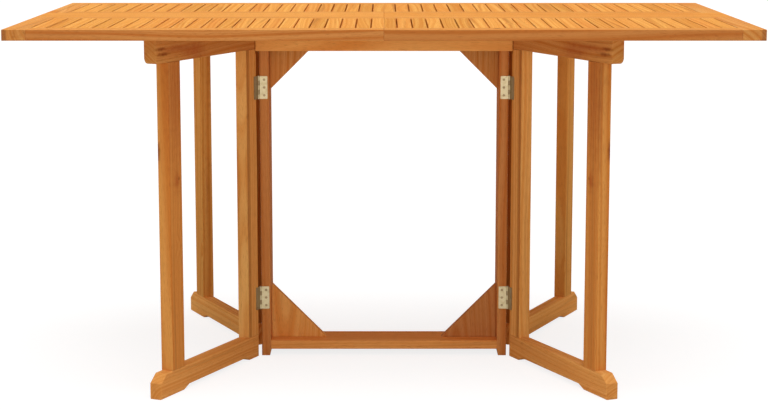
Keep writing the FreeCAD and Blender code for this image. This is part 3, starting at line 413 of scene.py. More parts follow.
@dataclass(frozen=True)
class HardwoodFigure:
    """Solid figure of an oiled tropical hardwood, read at a board's own coordinates.

    The board's grain runs along X and the tree's pith lies on the X axis, so side faces show long
    lines and end faces show arcs of the rings. Rates are in features per metre.
    """

    honey: Colour = display_colour(253, 190, 107)
    amber: Colour = display_colour(235, 154, 73)
    umber: Colour = display_colour(164, 88, 40)
    knot: Colour = display_colour(84, 42, 20)
    end_shade: Colour = display_colour(244, 238, 232)

    streaks: NoiseLayer = NoiseLayer((0.9, 52.0, 52.0), 3.0, (0.56, 0.76), 0.5)
    fibres: NoiseLayer = NoiseLayer((16.0, 850.0, 850.0), 2.0, (0.35, 0.75), 0.28)
    pores: NoiseLayer = NoiseLayer((55.0, 2400.0, 2400.0), 0.0, (0.62, 0.76))
    clouds: NoiseLayer = NoiseLayer((2.2, 10.0, 10.0), 2.0, (0.35, 0.7), 0.3)
    pore_depth: float = 0.45

    wander_rate: Triple = (1.3, 5.0, 5.0)
    wander_detail: float = 1.0
    wander: Triple = (0.0, 0.05, 0.05)
    ring_rate: float = 150.0
    ring_detail: float = 3.0
    ring_roughness: float = 0.6
    ring_span: Pair = (0.32, 0.70)

    knot_rate: Triple = (6.0, 9.0, 9.0)
    knot_rarity: float = 0.72
    knot_swirl: float = 0.014
    swirl_span: Pair = (0.0, 0.24)
    core_span: Pair = (0.02, 0.06)
    core_depth: float = 0.85

    end_span: Pair = (0.6, 0.95)
    fibre_span: Pair = (0.3, 0.7)
    roughness: Pair = (0.68, 0.80)
    rougher_pores: float = 0.12
    rougher_ends: float = 0.12
    fibre_height: float = 0.5
    ring_height: float = -0.25

    def build(self) -> bpy.types.NodeTree:
        """Makes the group: colour, roughness and height from a place, a normal and a tint.

        Returns:
            The node group.
        """
        graph, given, out = open_group(
            "hardwood_figure",
            {
                "Vector": SocketKind.VECTOR,
                "Normal": SocketKind.VECTOR,
                "Tint": SocketKind.COLOUR,
            },
            {
                "Color": SocketKind.COLOUR,
                "Roughness": SocketKind.NUMBER,
                "Height": SocketKind.NUMBER,
            },
        )
        place = given["Vector"]
        drift = graph.scatter(place, self.wander_rate, self.wander_detail, self.wander)
        bent = graph.vector("ADD", place, drift)
        near_knot, knot_core = self._knots(graph, place)
        rings = self._rings(graph, bent, near_knot)
        streaks = self.streaks.mask(graph, self.streaks.read(graph, bent))
        fibre = self.fibres.read(graph, bent)
        pores = self.pores.mask(graph, self.pores.read(graph, bent))
        clouds = self.clouds.mask(graph, self.clouds.read(graph, place))
        lengthwise, _, _ = graph.split(given["Normal"])
        on_end = graph.ramp(graph.math("ABSOLUTE", lengthwise), self.end_span)

        colour = graph.mix(rings, self.honey, self.amber)
        colour = graph.mix(streaks, colour, self.umber)
        colour = graph.mix(self.fibres.mask(graph, fibre), colour, self.amber)
        colour = graph.mix(graph.math("MULTIPLY", pores, self.pore_depth), colour, self.umber)
        colour = graph.mix(clouds, colour, self.amber)
        colour = graph.mix(knot_core, colour, self.knot)
        colour = graph.mix(on_end, colour, graph.tinted(colour, self.end_shade))

        rough = graph.ramp(fibre, self.fibre_span, *self.roughness)
        rough = graph.math("ADD", rough, graph.math("MULTIPLY", pores, self.rougher_pores))
        rough = graph.math("ADD", rough, graph.math("MULTIPLY", on_end, self.rougher_ends))
        height = graph.math("SUBTRACT", graph.math("MULTIPLY", fibre, self.fibre_height), pores)
        height = graph.math("ADD", height, graph.math("MULTIPLY", rings, self.ring_height))
        tinted = graph.tinted(colour, given["Tint"])
        graph.fill(out, Color=tinted, Roughness=rough, Height=height)
        return graph.tree

    def _knots(self, graph: Graph, place: Socket) -> tuple[Socket, Socket]:
        """Lays out rare small knots.

        Args:
            graph: Graph of the figure.
            place: Board coordinates.

        Returns:
            How near a knot is, for the swirl of the rings round it, and its dark core.
        """
        cells = graph.add("TexVoronoi", feature="F1")
        graph.fill(cells, Vector=graph.vector("MULTIPLY", place, self.knot_rate), Scale=1.0)
        distance = cells.outputs["Distance"]
        chance, _, _ = graph.split(cells.outputs["Color"])
        present = graph.math("GREATER_THAN", chance, self.knot_rarity)
        near = graph.ramp(distance, self.swirl_span, 1.0, 0.0)
        core = graph.ramp(distance, self.core_span, self.core_depth, 0.0)
        return graph.math("MULTIPLY", near, present), graph.math("MULTIPLY", core, present)

    def _rings(self, graph: Graph, bent: Socket, near_knot: Socket) -> Socket:
        """Bands of growth rings: noise on the distance from the pith, pushed out by knots.

        Args:
            graph: Graph of the figure.
            bent: Board coordinates with the grain's wander added.
            near_knot: How near a knot is.

        Returns:
            The bands' mask.
        """
        _, across, through = graph.split(bent)
        radius = graph.vector("LENGTH", graph.join(0.0, across, through))
        radius = graph.math("ADD", radius, graph.math("MULTIPLY", near_knot, self.knot_swirl))
        rings = graph.fill(
            graph.add("TexNoise", noise_dimensions="1D"),
            W=graph.math("MULTIPLY", radius, self.ring_rate),
            Scale=1.0,
            Detail=self.ring_detail,
            Roughness=self.ring_roughness,
        )
        return graph.ramp(rings.outputs["Fac"], self.ring_span)


@dataclass(frozen=True)
class EdgeWear:
    """Mask of the worn edges and a normal that is softened over them.

    The mask rises as the softened normal departs from the flat one, by their dot product.
    """

    samples: int = 4
    likeness_span: Pair = (0.80, 0.985)

    def build(self) -> bpy.types.NodeTree:
        """Makes the group from a radius in metres.

        Returns:
            The node group, which puts out Wear and Normal.
        """
        graph, given, out = open_group(
            "edge_wear",
            {"Radius": SocketKind.NUMBER},
            {"Wear": SocketKind.NUMBER, "Normal": SocketKind.VECTOR},
        )
        bevel = graph.add("Bevel", samples=self.samples)
        soft = graph.fill(bevel, Radius=given["Radius"]).outputs["Normal"]
        flat = graph.add("NewGeometry").outputs["Normal"]
        likeness = graph.vector("DOT_PRODUCT", soft, flat)
        graph.fill(out, Wear=graph.ramp(likeness, self.likeness_span, 1.0, 0.0), Normal=soft)
        return graph.tree


@dataclass(frozen=True)
class SlatLots:
    """Gives each slat of a row its own piece of timber, by its place along the row.

    The row starts with a narrow slat beside the middle and goes on at an even pitch, so a slat's
    number is its distance from the middle in pitches, rounded down. The sign of X tells the row's
    two sides apart.
    """

    seam_end: float = 0.026
    pitch: float = 0.0307
    side_step: float = 37.0
    lot_reach: Triple = (9.0, 0.22, 0.22)
    pale: Colour = display_colour(255, 253, 240)
    rosy: Colour = display_colour(248, 234, 216)
    dull: Colour = display_colour(238, 230, 206)
    chance_span: Pair = (0.45, 1.0)

    def build(self) -> bpy.types.NodeTree:
        """Makes the group from a place and a seed for the row.

        Returns:
            The node group, which puts out an Offset in metres and a Tint.
        """
        graph, given, out = open_group(
            "slat_lots",
            {"Vector": SocketKind.VECTOR, "Seed": SocketKind.NUMBER},
            {"Offset": SocketKind.VECTOR, "Tint": SocketKind.COLOUR},
        )
        along, _, _ = graph.split(given["Vector"])
        steps = graph.math("SUBTRACT", graph.math("ABSOLUTE", along), self.seam_end)
        steps = graph.math("FLOOR", graph.math("DIVIDE", steps, self.pitch))
        side = graph.math("MULTIPLY", graph.math("SIGN", along), self.side_step)
        number = graph.math("ADD", graph.math("ADD", steps, side), given["Seed"])
        lot = graph.fill(graph.add("TexWhiteNoise", noise_dimensions="1D"), W=number)
        drawn = lot.outputs["Color"]
        first, second, _ = graph.split(drawn)
        tint = graph.mix(graph.ramp(first, self.chance_span), self.pale, self.rosy)
        tint = graph.mix(graph.ramp(second, self.chance_span), tint, self.dull)
        graph.fill(out, Offset=graph.vector("MULTIPLY", drawn, self.lot_reach), Tint=tint)
        return graph.tree


@dataclass(frozen=True)
class ShadedBand:
    """Darker band on a gate's inner stile beside the hinges, and painted shade on the edge at the
    pin.

    The band is on the face that carries the hinges. Its span is in metres from the pin, along the
    gate: it starts softly and runs to the stile's outer corner. The edge is the narrow side that
    faces the frame; its darker tint is painted shade of the narrow gap between stile and frame.
    """

    span: Pair = (0.036, 0.044)
    depth: float = 0.85
    shade: Colour = display_colour(206, 190, 178)
    # painted shade of the narrow gap between the stile's pin edge and the frame
    painted_gap_shade: Colour = display_colour(184, 168, 148)

    def build(self) -> bpy.types.NodeTree:
        """Makes the group from a place and a normal in the gate's own frame.

        Returns:
            The node group, which puts out a Tint.
        """
        graph, given, out = open_group(
            "shaded_band",
            {"Vector": SocketKind.VECTOR, "Normal": SocketKind.VECTOR},
            {"Tint": SocketKind.COLOUR},
        )
        along, _, _ = graph.split(given["Vector"])
        lengthwise, outward, _ = graph.split(given["Normal"])
        mask = graph.ramp(along, self.span, 0.0, self.depth)
        mask = graph.math("MULTIPLY", mask, graph.math("GREATER_THAN", outward, FACING))
        tint = graph.mix(mask, WHITE, self.shade)
        # Painted shade: the edge at the pin, in the gap beside the frame, gets a darker tint.
        on_edge = graph.math("LESS_THAN", lengthwise, -FACING)
        graph.fill(out, Tint=graph.mix(on_edge, tint, self.painted_gap_shade))
        return graph.tree


@dataclass(frozen=True)
class TimberAndShadeMark:
    """Soft darker lump with a ragged outline: a knot or a cloud in the timber, or painted shade.
    """

    rag_rate: Triple = (70.0, 70.0, 70.0)
    rag_detail: float = 2.0
    raggedness: Triple = (0.9, 0.9, 0.9)
    fade_span: Pair = (0.0, 1.1)

    def build(self) -> bpy.types.NodeTree:
        """Makes the group from a place, the lump's centre, its closeness and its shade.

        Closeness is one over the lump's reach along each axis, so that the lump ends about where
        the scaled distance from its centre is one.

        Returns:
            The node group, which takes a Tint and puts out the Tint with the lump on it.
        """
        graph, given, out = open_group(
            "timber_and_shade_mark",
            {
                "Vector": SocketKind.VECTOR,
                "Centre": SocketKind.VECTOR,
                "Closeness": SocketKind.VECTOR,
                "Shade": SocketKind.COLOUR,
                "Tint": SocketKind.COLOUR,
            },
            {"Tint": SocketKind.COLOUR},
        )
        away = graph.vector("SUBTRACT", given["Vector"], given["Centre"])
        away = graph.vector("MULTIPLY", away, given["Closeness"])
        rag = graph.scatter(given["Vector"], self.rag_rate, self.rag_detail, self.raggedness)
        distance = graph.vector("LENGTH", graph.vector("ADD", away, rag))
        mask = graph.ramp(distance, self.fade_span, 1.0, 0.0)
        shaded = graph.tinted(given["Tint"], given["Shade"])
        graph.fill(out, Tint=graph.mix(mask, given["Tint"], shaded))
        return graph.tree


@dataclass(frozen=True)
class RubbedMetal:
    """Fine rub marks and faint dulling of handled metal."""

    rub_rate: Triple = (1500.0, 1500.0, 160.0)
    rub_detail: float = 2.0
    rub_span: Pair = (0.3, 0.7)
    roughness: Pair = (0.30, 0.44)
    tarnish: NoiseLayer = NoiseLayer((120.0, 120.0, 120.0), 3.0, (0.42, 0.72), 0.5)

    def build(self) -> bpy.types.NodeTree:
        """Makes the group from a place.

        Returns:
            The node group, which puts out Roughness, Dull and Height.
        """
        graph, given, out = open_group(
            "rubbed_metal",
            {"Vector": SocketKind.VECTOR},
            {
                "Roughness": SocketKind.NUMBER,
                "Dull": SocketKind.NUMBER,
                "Height": SocketKind.NUMBER,
            },
        )
        rub = graph.noise(given["Vector"], self.rub_rate, self.rub_detail).outputs["Fac"]
        rough = graph.ramp(rub, self.rub_span, *self.roughness)
        dull = self.tarnish.mask(graph, self.tarnish.read(graph, given["Vector"]))
        graph.fill(out, Roughness=rough, Dull=dull, Height=rub)
        return graph.tree


@dataclass
class Effects:
    """The shared node groups, each built once."""

    figure: bpy.types.NodeTree = field(default_factory=lambda: HardwoodFigure().build())
    wear: bpy.types.NodeTree = field(default_factory=lambda: EdgeWear().build())
    lots: bpy.types.NodeTree = field(default_factory=lambda: SlatLots().build())
    band: bpy.types.NodeTree = field(default_factory=lambda: ShadedBand().build())
    mark: bpy.types.NodeTree = field(default_factory=lambda: TimberAndShadeMark().build())
    rubbed: bpy.types.NodeTree = field(default_factory=lambda: RubbedMetal().build())


# ---------------------------------------------------------------- finishes


class Grain(Enum):
    """Direction of a board's grain, as the turn in degrees that brings it onto X."""

    LENGTHWISE = (0.0, 0.0, 0.0)
    CROSSWISE = (0.0, 0.0, -90.0)
    UPRIGHT = (0.0, 90.0, 0.0)


@dataclass(frozen=True)
class Mark:
    """One darker lump, in metres in a gate's own frame: a knot, a cloud or painted shade."""

    centre: Triple
    reach: Triple
    shade: Colour


@dataclass(frozen=True)
class GateFrame:
    """A gate's own frame: the turn in degrees onto X, the pin, and the side its hinges face.

    X runs along the gate from the pin, Y points out of the face that carries the hinges, and Z up.
    """

    turn: Triple
    pin: Triple
    hinge_side: float


@dataclass(frozen=True)
class GateMarksAndShade:
    """What sets one board of a gate apart: its marks and the shaded band, both partly painted
    shade.
    """

    frame: GateFrame
    marks: tuple[Mark, ...] = ()
    banded: bool = False


@dataclass(frozen=True)
class OiledBoard:
    """Finish of one board: the shared figure, laid along its own grain and in its own tint.

    A row seed makes every slat a lot of its own, timber adds a gate's marks and band, both partly
    painted shade, a side tint changes the upright faces, partly painted shade, and a painted tip
    shade darkens a flap's end rail at the table's corners, standing in for the shade on a rounded
    one.
    """

    name: str
    turn: Triple
    centre: Vector
    tint: Colour
    row_seed: float | None = None
    timber: GateMarksAndShade | None = None
    side_tint: Colour | None = None
    painted_tip_shade: Colour | None = None
    upright_span: Pair = (0.3, 0.8)
    tip_span: Pair = (0.738, 0.743)
    pith_reach: Pair = (0.045, 0.13)
    log_half: float = 20.0
    worn: Colour = display_colour(255, 206, 138)
    worn_share: float = 0.3
    wear_radius: float = 0.0018
    relief_strength: float = 0.35
    relief_depth: float = 0.0004
    gloss: float = 0.03

    def _gate_tint(self, graph: Graph, own: bpy.types.Node, effects: Effects) -> object:
        """Tint of a gate's board, with its shaded band and its marks, both partly painted shade.

        Args:
            graph: Graph of the material.
            own: The board's coordinates.
            effects: The shared node groups.

        Returns:
            The tint.
        """
        frame = self.timber.frame
        flip = (1.0, frame.hinge_side, 1.0)
        shift = -(turn_matrix(frame.turn) @ Vector(frame.pin))
        place = graph.turned("POINT", own.outputs["Object"], frame.turn, Location=shift)
        place = graph.vector("MULTIPLY", place, flip)
        tint: object = self.tint
        if self.timber.banded:
            outward = graph.turned("NORMAL", own.outputs["Normal"], frame.turn)
            outward = graph.vector("MULTIPLY", outward, flip)
            band = graph.group(effects.band, Vector=place, Normal=outward)
            tint = graph.tinted(band.outputs["Tint"], tint)
        for mark in self.timber.marks:
            lump = graph.group(
                effects.mark,
                Vector=place,
                Centre=mark.centre,
                Closeness=tuple(1.0 / reach for reach in mark.reach),
                Shade=mark.shade,
                Tint=tint,
            )
            tint = lump.outputs["Tint"]
        return tint

    def _side_tint(self, graph: Graph, own: bpy.types.Node, tint: object) -> Socket:
        """Changes the tint of the upright faces. On the flaps' rails they come out darker than the
        tops:
        partly the side grain's own tone, partly painted shade.

        Args:
            graph: Graph of the material.
            own: The board's coordinates.
            tint: Tint of the flat faces.

        Returns:
            The tint of all faces.
        """
        _, _, up = graph.split(own.outputs["Normal"])
        upright = graph.ramp(graph.math("ABSOLUTE", up), self.upright_span, 1.0, 0.0)
        return graph.mix(upright, tint, self.side_tint)

    def _tint_with_painted_tip_shade(self, graph: Graph, own: bpy.types.Node, tint: object) -> Socket:
        """Paints shade on the faces across the table near its ends, standing in for the shade on
        rounded corners.

        Args:
            graph: Graph of the material.
            own: The board's coordinates.
            tint: Tint before the change.

        Returns:
            The tint with the dark tips.
        """
        along, _, _ = graph.split(own.outputs["Object"])
        _, across, _ = graph.split(own.outputs["Normal"])
        tip = graph.ramp(graph.math("ABSOLUTE", along), self.tip_span)
        facing = graph.math("GREATER_THAN", graph.math("ABSOLUTE", across), FACING)
        shaded = graph.tinted(tint, self.painted_tip_shade)
        return graph.mix(graph.math("MULTIPLY", tip, facing), tint, shaded)

    def _pith_shift(self) -> Triple:
        """Puts the board at a place of its own in a log, with the pith a little way off it.

        Returns:
            What is added to the board's turned coordinates.
        """
        rng = np.random.default_rng(list(self.name.encode()))
        reach, angle = rng.uniform(*self.pith_reach), rng.uniform(0.0, 2 * math.pi)
        middle = turn_matrix(self.turn) @ self.centre
        return (
            float(rng.uniform(-self.log_half, self.log_half)),
            float(reach * math.cos(angle) - middle.y),
            float(reach * math.sin(angle) - middle.z),
        )

    def build(self, effects: Effects) -> bpy.types.Material:
        """Makes the material.

        Args:
            effects: The shared node groups.

        Returns:
            The material.
        """
        material, graph, shader = open_material(f"oiled_{self.name}")
        own = graph.add("TexCoord")
        shift = self._pith_shift()
        place = graph.turned("POINT", own.outputs["Object"], self.turn, Location=shift)
        facing = graph.turned("NORMAL", own.outputs["Normal"], self.turn)
        tint: object = self.tint
        if self.row_seed is not None:
            lots = graph.group(effects.lots, Vector=own.outputs["Object"], Seed=self.row_seed)
            place = graph.vector("ADD", place, lots.outputs["Offset"])
            tint = graph.tinted(lots.outputs["Tint"], tint)
        if self.timber is not None:
            tint = self._gate_tint(graph, own, effects)
        if self.side_tint is not None:
            tint = self._side_tint(graph, own, tint)
        if self.painted_tip_shade is not None:
            tint = self._tint_with_painted_tip_shade(graph, own, tint)
        wood = graph.group(effects.figure, Vector=place, Normal=facing, Tint=tint)
        wear = graph.group(effects.wear, Radius=self.wear_radius)
        share = graph.math("MULTIPLY", wear.outputs["Wear"], self.worn_share)
        height, soft = wood.outputs["Height"], wear.outputs["Normal"]
        graph.fill(
            shader,
            Base_Color=graph.mix(share, wood.outputs["Color"], self.worn),
            Roughness=wood.outputs["Roughness"],
            Specular_IOR_Level=self.gloss,
            Normal=graph.relief(height, soft, self.relief_strength, self.relief_depth),
        )
        return material


@dataclass(frozen=True)
class HandledMetal:
    """Finish of the fittings: a metal with rub marks and a duller tone of tarnish between them."""

    name: str
    bright: Colour
    dull: Colour
    metallic: float
    wear_radius: float = 0.0005
    relief_strength: float = 0.2
    relief_depth: float = 0.00005

    def build(self, effects: Effects) -> bpy.types.Material:
        """Makes the material.

        Args:
            effects: The shared node groups.

        Returns:
            The material.
        """
        material, graph, shader = open_material(self.name)
        own = graph.add("TexCoord")
        rubbed = graph.group(effects.rubbed, Vector=own.outputs["Object"])
        wear = graph.group(effects.wear, Radius=self.wear_radius)
        share = graph.math("SUBTRACT", rubbed.outputs["Dull"], wear.outputs["Wear"])
        share = graph.math("MAXIMUM", share, 0.0)
        height, soft = rubbed.outputs["Height"], wear.outputs["Normal"]
        graph.fill(
            shader,
            Base_Color=graph.mix(share, self.bright, self.dull),
            Roughness=rubbed.outputs["Roughness"],
            Metallic=self.metallic,
            Normal=graph.relief(height, soft, self.relief_strength, self.relief_depth),
        )
        return material


BRASS = HandledMetal(
    "satin_brass", display_colour(205, 190, 148), display_colour(175, 154, 104), metallic=0.4
)
# A darker copy of the brass for the leaves that swing with a gate: painted shade, as they face
# away from the light.
SHADED_LEAF_BRASS = HandledMetal(
    "shaded_leaf_brass", display_colour(152, 131, 93), display_colour(132, 108, 68), metallic=0.4
)
STEEL = HandledMetal(
    "plated_steel", display_colour(158, 134, 98), display_colour(120, 98, 68), metallic=0.6
)


# ---------------------------------------------------------------- dressing the solids


@dataclass
class Workshop:
    """What every sub-assembly needs: the loaded frame and the shared effects."""

    frame: dict
    effects: Effects

    def paint(self, node: str, material: bpy.types.Material) -> None:
        """Puts one material into every slot of a CAD node's object and reports the piece.

        Args:
            node: Name of the CAD node.
            material: Material to show on it.
        """
        solid = self.frame["nodes"][node]
        if not solid.material_slots:
            solid.data.materials.append(material)
        for slot in solid.material_slots:
            slot.material = material
        LOG.info("%s has the finish %s", node, material.name)

    def lay_grain(self, node: str, turn: Triple, tint: Colour, **details: object) -> None:
        """Finishes one board of oiled hardwood.

        Args:
            node: Name of the CAD node.
            turn: Turn in degrees that brings the board's grain onto X.
            tint: Tint of this board's timber.
            **details: Further fields of the board's finish.
        """
        low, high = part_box(node)
        board = OiledBoard(node, turn, (low + high) / 2, tint, **details)
        self.paint(node, board.build(self.effects))


@dataclass
class StandingFrame:
    """The frame between the gates: stiles, stretchers, corner braces and aprons."""

    name: str = "standing_frame"
    stile_tint: Colour = display_colour(216, 198, 204)
    stretcher_tint: Colour = display_colour(254, 247, 253)
    brace_tints: tuple[tuple[str, Colour], ...] = (
        ("lower_left", display_colour(252, 251, 254)),
        ("lower_right", display_colour(212, 198, 212)),
        ("upper_left", display_colour(225, 210, 208)),
        ("upper_right", display_colour(214, 202, 204)),
    )
    apron_tint: Colour = display_colour(255, 255, 255)

    def dress(self, shop: Workshop) -> None:
        """Finishes the boards of the frame.

        Args:
            shop: The loaded frame and the shared effects.
        """
        for hand in ("left", "right"):
            shop.lay_grain(f"frame_stile_{hand}", Grain.UPRIGHT.value, self.stile_tint)
        for corner, tint in self.brace_tints:
            shop.lay_grain(f"corner_brace_{corner}", Grain.UPRIGHT.value, tint)
        for name in ("bottom_stretcher", "top_stretcher"):
            shop.lay_grain(name, Grain.LENGTHWISE.value, self.stretcher_tint)
        for side in ("front", "back"):
            shop.lay_grain(f"apron_{side}", Grain.LENGTHWISE.value, self.apron_tint)


@dataclass
class FixedStrip:
    """The fixed middle strip of the top and the bearers under it."""

    name: str = "fixed_strip"
    left_tint: Colour = display_colour(249, 243, 228)
    right_tint: Colour = display_colour(246, 236, 214)

    def dress(self, shop: Workshop) -> None:
        """Finishes the strip's boards and bearers.

        Args:
            shop: The loaded frame and the shared effects.
        """
        for side in ("front", "back"):
            for hand, tint in (("left", self.left_tint), ("right", self.right_tint)):
                shop.lay_grain(f"strip_board_{side}_{hand}", Grain.LENGTHWISE.value, tint)
        shop.lay_grain("strip_bearers", Grain.LENGTHWISE.value, self.right_tint)


RED_CLOUD = display_colour(230, 204, 204)
DARK_KNOT = display_colour(178, 150, 142)
LEG_MARKS = (
    # The first mark darkens the upper part of the leg under the tabletop: partly a reddish cloud
    # in the timber, partly painted shade from the tabletop.
    Mark((0.354, 0.0, 0.610), (0.060, 0.020, 0.200), display_colour(236, 222, 226)),
    Mark((0.351, 0.0, 0.437), (0.014, 0.010, 0.030), RED_CLOUD),
    Mark((0.342, 0.0, 0.442), (0.005, 0.005, 0.005), DARK_KNOT),
    Mark((0.380, -0.026, 0.500), (0.012, 0.006, 0.030), DARK_KNOT),
)
TOP_RAIL_MARKS = (
    Mark((0.276, 0.0, 0.697), (0.070, 0.020, 0.024), RED_CLOUD),
    Mark((0.350, 0.0, 0.706), (0.080, 0.020, 0.010), RED_CLOUD),
    Mark((0.405, 0.0, 0.709), (0.028, 0.010, 0.005), DARK_KNOT),
    Mark((0.396, 0.0, 0.698), (0.034, 0.010, 0.005), DARK_KNOT),
)


@dataclass(frozen=True)
class GateTints:
    """Tints of a gate's four boards."""

    top_rail: Colour
    foot_rail: Colour
    outer_leg: Colour
    inner_stile: Colour


FRONT_GATE_TINTS = GateTints(
    top_rail=display_colour(217, 205, 198),
    foot_rail=display_colour(239, 234, 235),
    outer_leg=display_colour(223, 206, 190),
    inner_stile=display_colour(238, 237, 239),
)
# Paler and less red than the front gates' tints: painted light, making up for the light that the
# front gates keep off the back ones.
BACK_GATE_TINTS = GateTints(
    top_rail=display_colour(217, 205, 198),
    foot_rail=display_colour(255, 255, 255),
    outer_leg=display_colour(231, 227, 213),
    inner_stile=display_colour(250, 248, 250),
)


@dataclass
class Gate:
    """One swinging gate, opened by its angle in degrees from the Y axis."""

    side: str
    hand: str
    tints: GateTints
    angle: float = 24.5
    pin_x: float = 0.272
    pin_y: float = 0.0505

    @property
    def name(self) -> str:
        """Start of the names of the gate's pieces."""
        return f"{self.side}_{self.hand}_gate"

    def _frame(self) -> GateFrame:
        """Works out the gate's own frame from its side and hand.

        Returns:
            The frame.
        """
        angle = math.radians(self.angle)
        x_sign = 1.0 if self.hand == "right" else -1.0
        y_sign = 1.0 if self.side == "back" else -1.0
        heading = math.atan2(y_sign * math.cos(angle), x_sign * math.sin(angle))
        pin = (x_sign * self.pin_x, y_sign * self.pin_y, 0.0)
        return GateFrame((0.0, 0.0, -math.degrees(heading)), pin, x_sign * y_sign)

    def dress(self, shop: Workshop) -> None:
        """Finishes the gate's rails and uprights.

        Args:
            shop: The loaded frame and the shared effects.
        """
        frame = self._frame()
        upright = Grain.UPRIGHT.value
        for piece, turn, timber in (
            ("top_rail", frame.turn, GateMarksAndShade(frame, TOP_RAIL_MARKS)),
            ("foot_rail", frame.turn, None),
            ("outer_leg", upright, GateMarksAndShade(frame, LEG_MARKS)),
            ("inner_stile", upright, GateMarksAndShade(frame, banded=True)),
        ):
            tint = getattr(self.tints, piece)
            shop.lay_grain(f"{self.name}_{piece}", turn, tint, timber=timber)


@dataclass
class Flap:
    """One hinged flap: a ring of rails round a row of slats."""

    side: str
    row_seed: float
    rail_tints: tuple[Colour, Colour] = (
        display_colour(244, 236, 228),
        display_colour(240, 230, 222),
    )
    # Darker tints of the rails' upright faces: partly the side grain's own tone, partly painted
    # shade.
    edge_tints: tuple[Colour, Colour] = (
        display_colour(214, 192, 187),
        display_colour(208, 186, 181),
    )
    end_tints: tuple[Colour, Colour] = (
        display_colour(244, 238, 236),
        display_colour(240, 232, 230),
    )
    # darker upright faces of the end rails: partly the grain's own tone, partly painted shade
    end_side_tint: Colour = display_colour(230, 222, 222)
    # painted shade at the table's corners, standing in for the shade on a rounded corner
    painted_tip_shade: Colour = display_colour(214, 207, 220)
    slat_tint: Colour = display_colour(255, 255, 250)

    @property
    def name(self) -> str:
        """Start of the names of the flap's pieces."""
        return f"{self.side}_flap"

    def dress(self, shop: Workshop) -> None:
        """Finishes the flap's rails, slats and hidden ties.

        Args:
            shop: The loaded frame and the shared effects.
        """
        lengthwise, crosswise = Grain.LENGTHWISE.value, Grain.CROSSWISE.value
        end_sides = {"side_tint": self.end_side_tint, "painted_tip_shade": self.painted_tip_shade}
        tints = zip(("left", "right"), self.rail_tints, self.edge_tints, self.end_tints)
        for hand, rail_tint, edge_tint, end_tint in tints:
            edge, inner = f"{self.name}_edge_rail_{hand}", f"{self.name}_inner_rail_{hand}"
            shop.lay_grain(edge, lengthwise, rail_tint, side_tint=edge_tint)
            shop.lay_grain(inner, lengthwise, rail_tint)
            shop.lay_grain(f"{self.name}_end_rail_{hand}", crosswise, end_tint, **end_sides)
        slats = f"{self.name}_slats"
        shop.lay_grain(slats, crosswise, self.slat_tint, row_seed=self.row_seed)
        shop.lay_grain(f"{self.name}_seam_splices", crosswise, self.rail_tints[0])
        shop.lay_grain(f"{self.name}_stop_blocks", lengthwise, self.rail_tints[1])


@dataclass
class Fittings:
    """The brass hinges and the steel pins and screws."""

    name: str = "fittings"

    def dress(self, shop: Workshop) -> None:
        """Finishes the hinges, pins and screws. Gate leaves get a darker brass, as painted shade.

        Args:
            shop: The loaded frame and the shared effects.
        """
        brass, steel = BRASS.build(shop.effects), STEEL.build(shop.effects)
        shaded_leaves = SHADED_LEAF_BRASS.build(shop.effects)
        for node in shop.frame["nodes"]:
            if node.endswith("_gate_hinge_plates"):
                shop.paint(node, shaded_leaves)
            elif node.endswith("_plates"):
                shop.paint(node, brass)
            elif node.endswith(("_pins", "_screws")):
                shop.paint(node, steel)


# ---------------------------------------------------------------- studio


@dataclass(frozen=True)
class Lamp:
    """A broad, soft, far lamp.

    Its tilt is from straight overhead towards the front, and its heading then turns it round the
    table, to the right where it is positive. These and the spread of its light are in degrees.
    """

    name: str
    strength: float
    tilt: float
    spread: float
    heading: float = 0.0

    def hang(self) -> None:
        """Makes the lamp."""
        data = bpy.data.lights.new(self.name, "SUN")
        data.energy = self.strength
        data.angle = math.radians(self.spread)
        lamp = bpy.data.objects.new(self.name, data)
        lamp.rotation_euler = in_radians((self.tilt, 0.0, self.heading))
        bpy.context.collection.objects.link(lamp)


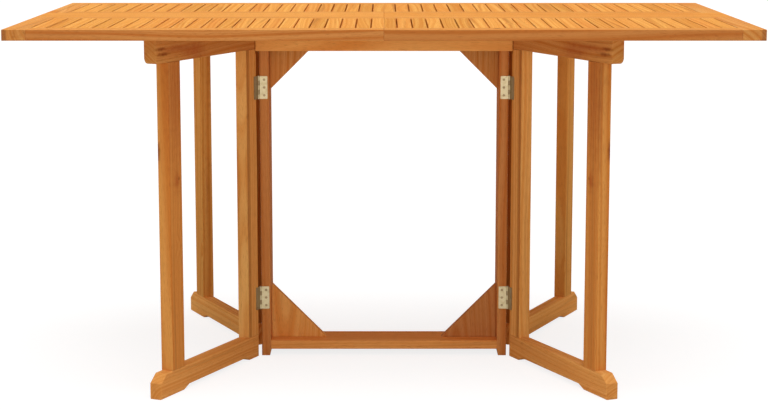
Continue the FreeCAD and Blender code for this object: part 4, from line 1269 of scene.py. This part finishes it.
@dataclass
class Studio:
    """Camera, lamps, white surroundings and a pale floor."""

    camera_place: Triple = (0.0, -4.326, 1.028)
    camera_pitch: float = 9.17
    lens: float = 92.7
    lamps: tuple[Lamp, ...] = (
        Lamp("overhead_lamp", strength=2.35, tilt=10.0, spread=60.0),
        Lamp("front_lamp", strength=0.52, tilt=86.0, spread=18.0),
        Lamp("left_lamp", strength=0.38, tilt=80.0, spread=30.0, heading=-72.0),
        Lamp("right_lamp", strength=0.38, tilt=80.0, spread=30.0, heading=72.0),
    )
    sky_strength: float = 0.26
    floor_bounce: Colour = (0.72, 0.72, 0.72, 1.0)
    floor_shown: Colour = (0.25, 0.25, 0.25, 1.0)
    floor_glow: float = 0.82
    floor_half: float = 30.0

    def build(self) -> None:
        """Makes the whole studio."""
        self._aim_camera()
        for lamp in self.lamps:
            lamp.hang()
        self._wrap_white()
        self._lay_floor()
        bpy.context.scene.view_settings.view_transform = "Standard"

    def _aim_camera(self) -> None:
        """Puts the camera in front of the table, a little above its top and tilted down."""
        data = bpy.data.cameras.new("front_camera")
        data.lens = self.lens
        camera = bpy.data.objects.new("front_camera", data)
        camera.location = self.camera_place
        camera.rotation_euler = in_radians((90.0 - self.camera_pitch, 0.0, 0.0))
        bpy.context.collection.objects.link(camera)
        bpy.context.scene.camera = camera

    def _wrap_white(self) -> None:
        """Surrounds the table with a dim sky that shows as white."""
        world = bpy.data.worlds.new("white_studio")
        graph = empty_graph(world)
        sky = graph.surface("Background", Color=WHITE, Strength=self.sky_strength)
        white = graph.surface("Background", Color=WHITE)
        graph.fill(graph.add("OutputWorld"), Surface=graph.shown_or_not(sky, white))
        bpy.context.scene.world = world

    def _lay_floor(self) -> None:
        """Lays a flat square floor: its corners are at plus and minus the half width.

        It shows as a nearly white surface that takes a faint shadow, and bounces plain pale light.
        """
        signs = np.array([(-1, -1), (1, -1), (1, 1), (-1, 1)])
        corners = np.column_stack([signs * self.floor_half, np.zeros(4)])
        mesh = bpy.data.meshes.new("pale_floor")
        mesh.from_pydata(corners.tolist(), [], [(0, 1, 2, 3)])
        floor = bpy.data.objects.new("pale_floor", mesh)
        bpy.context.collection.objects.link(floor)
        material = bpy.data.materials.new("pale_floor")
        graph = empty_graph(material)
        shown = graph.add("AddShader")
        graph.feed(shown.inputs[0], graph.surface("BsdfDiffuse", Color=self.floor_shown))
        graph.feed(shown.inputs[1], graph.surface("Emission", Strength=self.floor_glow))
        bounce = graph.surface("BsdfDiffuse", Color=self.floor_bounce)
        both = graph.shown_or_not(bounce, shown.outputs[0])
        graph.fill(graph.add("OutputMaterial"), Surface=both)
        mesh.materials.append(material)


# ---------------------------------------------------------------- the whole table


def main() -> None:
    """Loads the solids, builds the studio and dresses each sub-assembly in turn."""
    logging.basicConfig(level=logging.INFO, format="%(name)s: %(message)s")
    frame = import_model()
    shop = Workshop(frame, Effects())
    Studio().build()
    LOG.info("studio built")
    for part in (
        StandingFrame(),
        FixedStrip(),
        *(Gate("front", hand, FRONT_GATE_TINTS) for hand in ("left", "right")),
        *(Gate("back", hand, BACK_GATE_TINTS) for hand in ("left", "right")),
        Flap("front", row_seed=101.0),
        Flap("back", row_seed=307.0),
        Fittings(),
    ):
        part.dress(shop)
        LOG.info("dressed %s", part.name)


if __name__ == "__main__":
    main()
